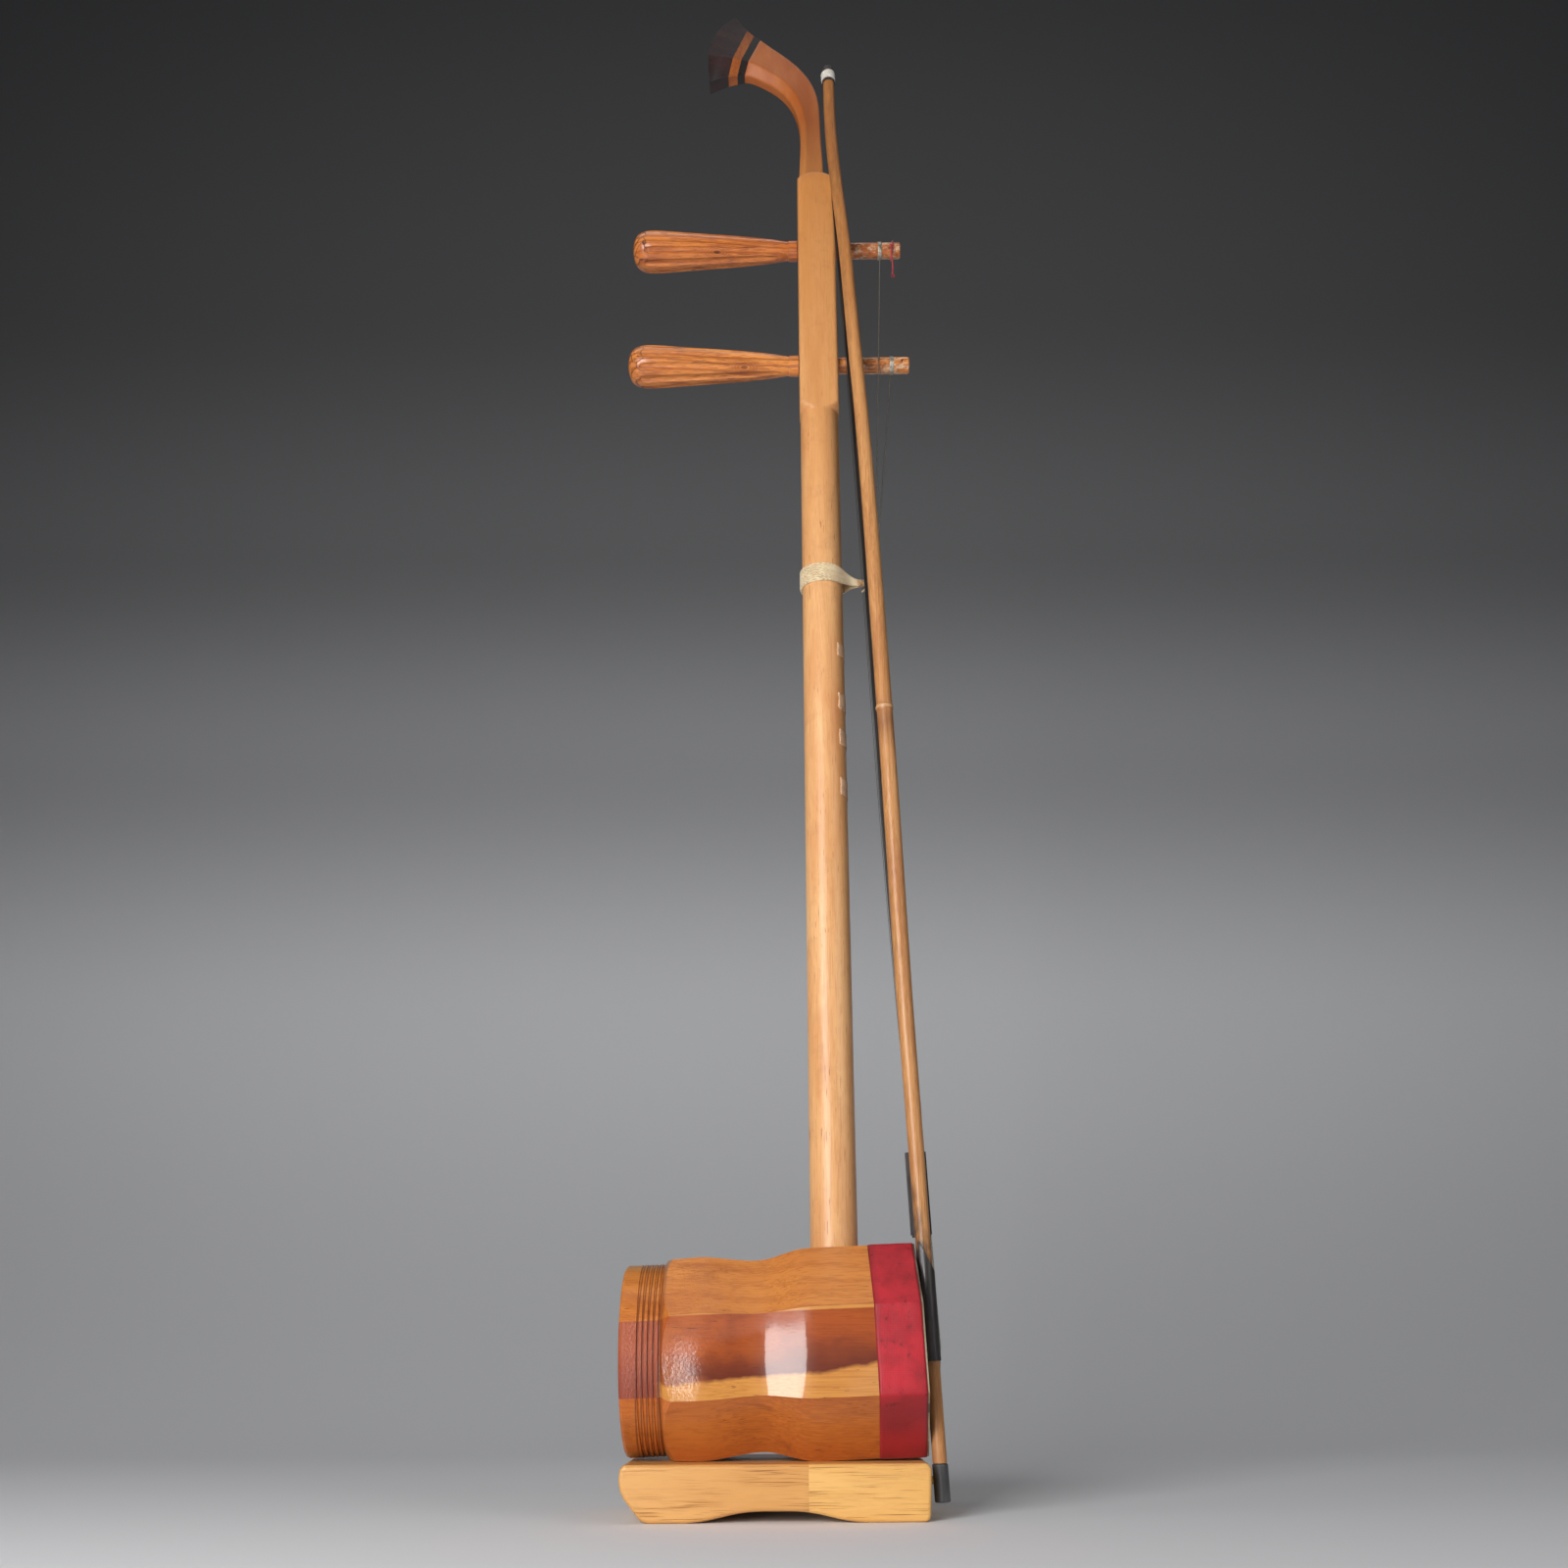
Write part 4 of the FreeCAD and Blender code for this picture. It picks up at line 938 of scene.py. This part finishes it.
def make_red_thread(red):
    """Red thread: once round the peg's tip, then hanging free with a frayed end."""
    x = corners("upper_peg")[1].x - 0.0052
    turn_radius = PEG_TIP_RADIUS + 0.00047
    turn_share = 0.98
    hanging = 0.0205
    knot = Vector((x, -turn_radius, UPPER_PEG_Z))
    route = []
    for step in range(17):
        angle = math.radians(-180 + 360 * step / 16 * turn_share)
        lift = 0.0008 * step / 16
        route.append(Vector((x + lift, turn_radius * math.cos(angle),
                             UPPER_PEG_Z + turn_radius * math.sin(angle))))
    route += [Vector((x - 0.0003, knot.y, UPPER_PEG_Z - 0.007)),
              Vector((x + 0.0005, knot.y - 0.0004, UPPER_PEG_Z - 0.014)),
              Vector((x + 0.0001, knot.y, UPPER_PEG_Z - hanging))]
    cord = strand("red_cord", [route], THREAD_RADIUS, red, "upper_peg_body", 3)
    rng = random.Random(5)
    fibres = []
    for i in range(16):
        angle = 2 * math.pi * i / 16
        spread = Vector((math.cos(angle), math.sin(angle), 0)) * rng.uniform(0.0004, 0.0011)
        start = route[-1] + Vector((0, 0, 0.0012))
        drop = rng.uniform(0.0022, 0.0034)
        fibres.append([start, start + spread * 0.5 - Vector((0, 0, drop * 0.5)),
                       start + spread - Vector((0, 0, drop))])
    for i in range(3):
        start = knot + Vector((0.0006 * (i - 1), -0.0002, 0.0004))
        fibres.append([start, start + Vector((0.0010 * (i - 1), -0.0012, -0.002)),
                       start + Vector((0.0016 * (i - 1), -0.0012, -0.006 - 0.001 * i))])
    tuft = strand("red_tuft", fibres, 0.00014, red, "upper_peg_body", 1)
    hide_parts("red_thread")


def make_hair(mat):
    """Horsehair hank: many separate hairs in a flat ribbon, a few of them loose."""
    rng = random.Random(3)
    low, high = corners("bow_hair")
    levels = [low.z + (high.z - low.z) * s for s in
              (0.001, 0.03, 0.08, 0.16, 0.26, 0.36, 0.46, 0.56, 0.66, 0.76, 0.86, 0.93, 0.97, 0.999)]
    sections = [section_at("bow_hair", z) for z in levels]
    routes = []
    for i in range(150):
        u = rng.uniform(-1, 1)
        v = rng.uniform(-1, 1)
        sway = rng.uniform(-1, 1) * 0.00035
        phase = rng.uniform(0, 6.28)
        stray = 0.0028 * rng.choice((-1, 1)) * rng.random() if i % 19 == 0 else 0.0
        route = []
        for k, (middle, half_x, half_y) in enumerate(sections):
            share = k / (len(sections) - 1)
            slack = math.sin(math.pi * share)
            x = middle.x + u * (half_x - 0.0002) + sway * math.sin(phase + 9 * share) * slack
            y = middle.y + v * (half_y - 0.0001)
            route.append(Vector((x + stray * slack, y, middle.z)))
        routes.append(route)
    curve = thread_curve("hair_lines", routes, 0.00010, mat, 0)
    bpy.context.view_layer.update()
    solid = curve.evaluated_get(bpy.context.evaluated_depsgraph_get())
    hair = add_object("horsehair", bpy.data.meshes.new_from_object(solid))
    bpy.data.objects.remove(curve)
    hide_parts("bow_hair")
    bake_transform(hair)


def make_cane_node(mat):
    """Low swollen ring where two joints of the cane meet."""
    middle, half_x, half_y = section_at("bow_stick", CANE_NODE_Z)
    radius = max(half_x, half_y)
    mesh = bpy.data.meshes.new("cane_node")
    shape = bmesh.new()
    rings, sides = 9, 40
    verts = []
    for i in range(rings):
        share = i / (rings - 1) * 2 - 1
        swell = 0.00055 * math.exp(-(share * 1.9) ** 2) - 0.00006
        for j in range(sides):
            angle = 2 * math.pi * j / sides
            r = radius + swell + 0.00007 * math.sin(3 * angle + 4 * share)
            verts.append(shape.verts.new((middle.x + r * math.cos(angle), middle.y + r * math.sin(angle),
                                          middle.z + share * 0.0022)))
    for i in range(rings - 1):
        for j in range(sides):
            k = (j + 1) % sides
            shape.faces.new((verts[i * sides + j], verts[i * sides + k],
                             verts[(i + 1) * sides + k], verts[(i + 1) * sides + j]))
    shape.to_mesh(mesh)
    shape.free()
    mesh_piece("cane_node", mesh, mat, "bow")


def make_tip(cream):
    """White thread bound over the hair at the stick's tip."""
    low, high = corners("tip_binding")
    middle = (low + high) * 0.5
    axis = Vector((math.sin(BOW_LEAN), 0, math.cos(BOW_LEAN)))
    core = 0.0033
    inner = helix(middle, axis, core, 9, 0.0060, 0.4, 14)
    outer = helix(middle, axis, core + 0.0004, 8, 0.0050, 2.0, 14)
    cross = []
    for step in range(15):
        angle = 2 * math.pi * step / 14
        cross.append(middle + around(axis, angle) * (core + 0.0005) + axis * 0.0022 * math.sin(angle))
    wrap = strand("tip_wrap", [inner, outer, cross], 0.00036, cream, "bow")
    mesh = bpy.data.meshes.new("tip_core")
    shape = bmesh.new()
    bmesh.ops.create_cone(shape, cap_ends=True, segments=32, radius1=core, radius2=core - 0.0004,
                          depth=0.0064)
    turn = axis.to_track_quat("Z", "Y").to_matrix().to_4x4()
    bmesh.ops.transform(shape, matrix=Matrix.Translation(middle) @ turn, verts=shape.verts)
    shape.to_mesh(mesh)
    shape.free()
    mesh_piece("tip_core", mesh, cream, "bow")
    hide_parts("tip_binding")


def make_marks(mat):
    """Four torn bits of tape on the front of the neck, corners lifting."""
    columns, rows = 16, 10
    for index in range(1, 5):
        name = "position_mark_%d" % index
        low, high = corners(name)
        middle_z = (low.z + high.z) / 2
        half_z = (high.z - low.z) / 2
        torn = 0.00035 if index == 4 else 0.0013
        vertices = []
        for i in range(columns + 1):
            for j in range(rows + 1):
                u = i / columns * 2 - 1
                v = j / rows * 2 - 1
                angle = u * math.radians(50)
                z = middle_z + v * half_z * 0.92
                rag = Vector((u * 3.1 + index * 7, v * 2.3, index))
                z += v * v * v * noise.noise(rag) * torn
                angle += u * u * u * noise.noise(rag + Vector((9, 3, 1))) * 0.09
                lift = 0.00010 + 0.00018 * (abs(u) ** 6) * max(0.0, noise.noise(rag * 2))
                lift += 0.00006 * noise.noise(Vector((u * 9, v * 9, index)))
                radius = NECK_RADIUS + lift + 0.00003
                vertices.append((radius * math.cos(angle), radius * math.sin(angle), z))
        mesh = bpy.data.meshes.new("tape_%d" % index)
        mesh.from_pydata(vertices, [], grid_faces(columns + 1, rows, False))
        piece = mesh_piece("tape_%d" % index, mesh, mat, "erhu")
        thicken(piece, 0.00014, 1)
        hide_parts(name)


# ---- Dress the CAD nodes ------------------------------------------------------------

def dress(names, mat):
    """Give CAD nodes one material."""
    for name in names:
        mesh = nodes[name].data
        mesh.materials.clear()
        mesh.materials.append(mat)


add_camera()
add_backdrop()
add_lights()
bpy.context.scene.view_settings.view_transform = "Standard"

dress(["neck"], neck_material())
dress(["head_band"], head_band_material())
dress(["head_ring"], dark_wood_material("ring_wood", (0.020, 0.012, 0.010), (0.008, 0.006, 0.005)))
dress(["head_cap"], dark_wood_material("cap_wood", (0.040, 0.015, 0.013), (0.012, 0.006, 0.006)))
dress(["base_rear"], base_material("base_rear_wood", (0.72, 0.38, 0.120), (0.61, 0.28, 0.075), 0.58, 1.0))
dress(["base_front"], base_material("base_front_wood", (0.80, 0.46, 0.145), (0.71, 0.36, 0.095), 0.64, 7.0))
staves = [
    (1, (0.58, 0.26, 0.065), (0.44, 0.17, 0.040), (0.24, 0.075, 0.02), 2.0, 1.0),
    (2, (0.60, 0.220, 0.046), (0.50, 0.150, 0.028), (0.27, 0.062, 0.014), 5.0, 0.9),
    (4, (0.56, 0.165, 0.030), (0.45, 0.110, 0.020), (0.22, 0.048, 0.013), 11.0, 0.8),
    (5, (0.50, 0.20, 0.050), (0.38, 0.12, 0.030), (0.18, 0.050, 0.015), 13.0, 1.0),
    (6, (0.46, 0.15, 0.035), (0.33, 0.095, 0.024), (0.15, 0.040, 0.014), 17.0, 0.9),
    (7, (0.40, 0.110, 0.030), (0.29, 0.070, 0.022), (0.13, 0.032, 0.014), 19.0, 0.8),
    (8, (0.58, 0.26, 0.070), (0.43, 0.16, 0.040), (0.21, 0.065, 0.02), 23.0, 1.1),
]
for stave_index, light, dark, deep, seed, figure in staves:
    dress(["stave_%d" % stave_index], stave_material(stave_index, light, dark, deep, seed, figure))
dress(["stave_3"], heart_stave_material())
dress(["upper_peg"], peg_material("upper_peg_wood", 3.0, (0.66, 0.235, 0.055), (0.50, 0.135, 0.030),
                                  (-0.0549, -0.0063, 0.6226)))
dress(["lower_peg"], peg_material("lower_peg_wood", 6.0, (0.72, 0.280, 0.070), (0.55, 0.170, 0.038),
                                  (-0.0395, -0.0062, 0.5454)))
dress(["sound_window"], dark_wood_material("window_wood", (0.30, 0.12, 0.045), (0.17, 0.06, 0.022)))
dress(["snakeskin"], snakeskin_material())
dress(["bridge"], dark_wood_material("bridge_wood", (0.50, 0.27, 0.10), (0.36, 0.16, 0.055)))
cane = cane_material()
dress(["bow_stick"], cane)
make_cane_node(cane)
horn = horn_material("black_horn", (0.026, 0.021, 0.020))
dress(["tip_collar", "tip_stub", "hair_ferrule", "bow_frog"], horn)
dress(["bow_button"], horn_material("button_horn", (0.045, 0.045, 0.047), 0.45))
string_metal = metal_material("string_metal", (0.70, 0.66, 0.56), 0.30, 9000.0)
dress(["inner_string", "outer_string"], string_metal)
dress(["string_anchor", "frog_eyelet"], metal_material("brass", (0.66, 0.47, 0.20), 0.38))
dress(["base_screw", "bow_screw"], metal_material("screw_steel", (0.52, 0.51, 0.49), 0.36))

cream_thread = thread_material("cream_thread", (0.80, 0.66, 0.42), (0.56, 0.38, 0.20))
make_band(cloth_material())
make_tie(cream_thread, thread_material("tan_thread", (0.50, 0.30, 0.14), (0.30, 0.16, 0.07)))
make_windings(string_metal)
make_red_thread(thread_material("red_thread_fibre", (0.48, 0.014, 0.022), (0.26, 0.006, 0.010)))
make_hair(hair_material())
make_tip(thread_material("white_thread", (0.82, 0.78, 0.70), (0.58, 0.52, 0.44)))
make_marks(mark_material())
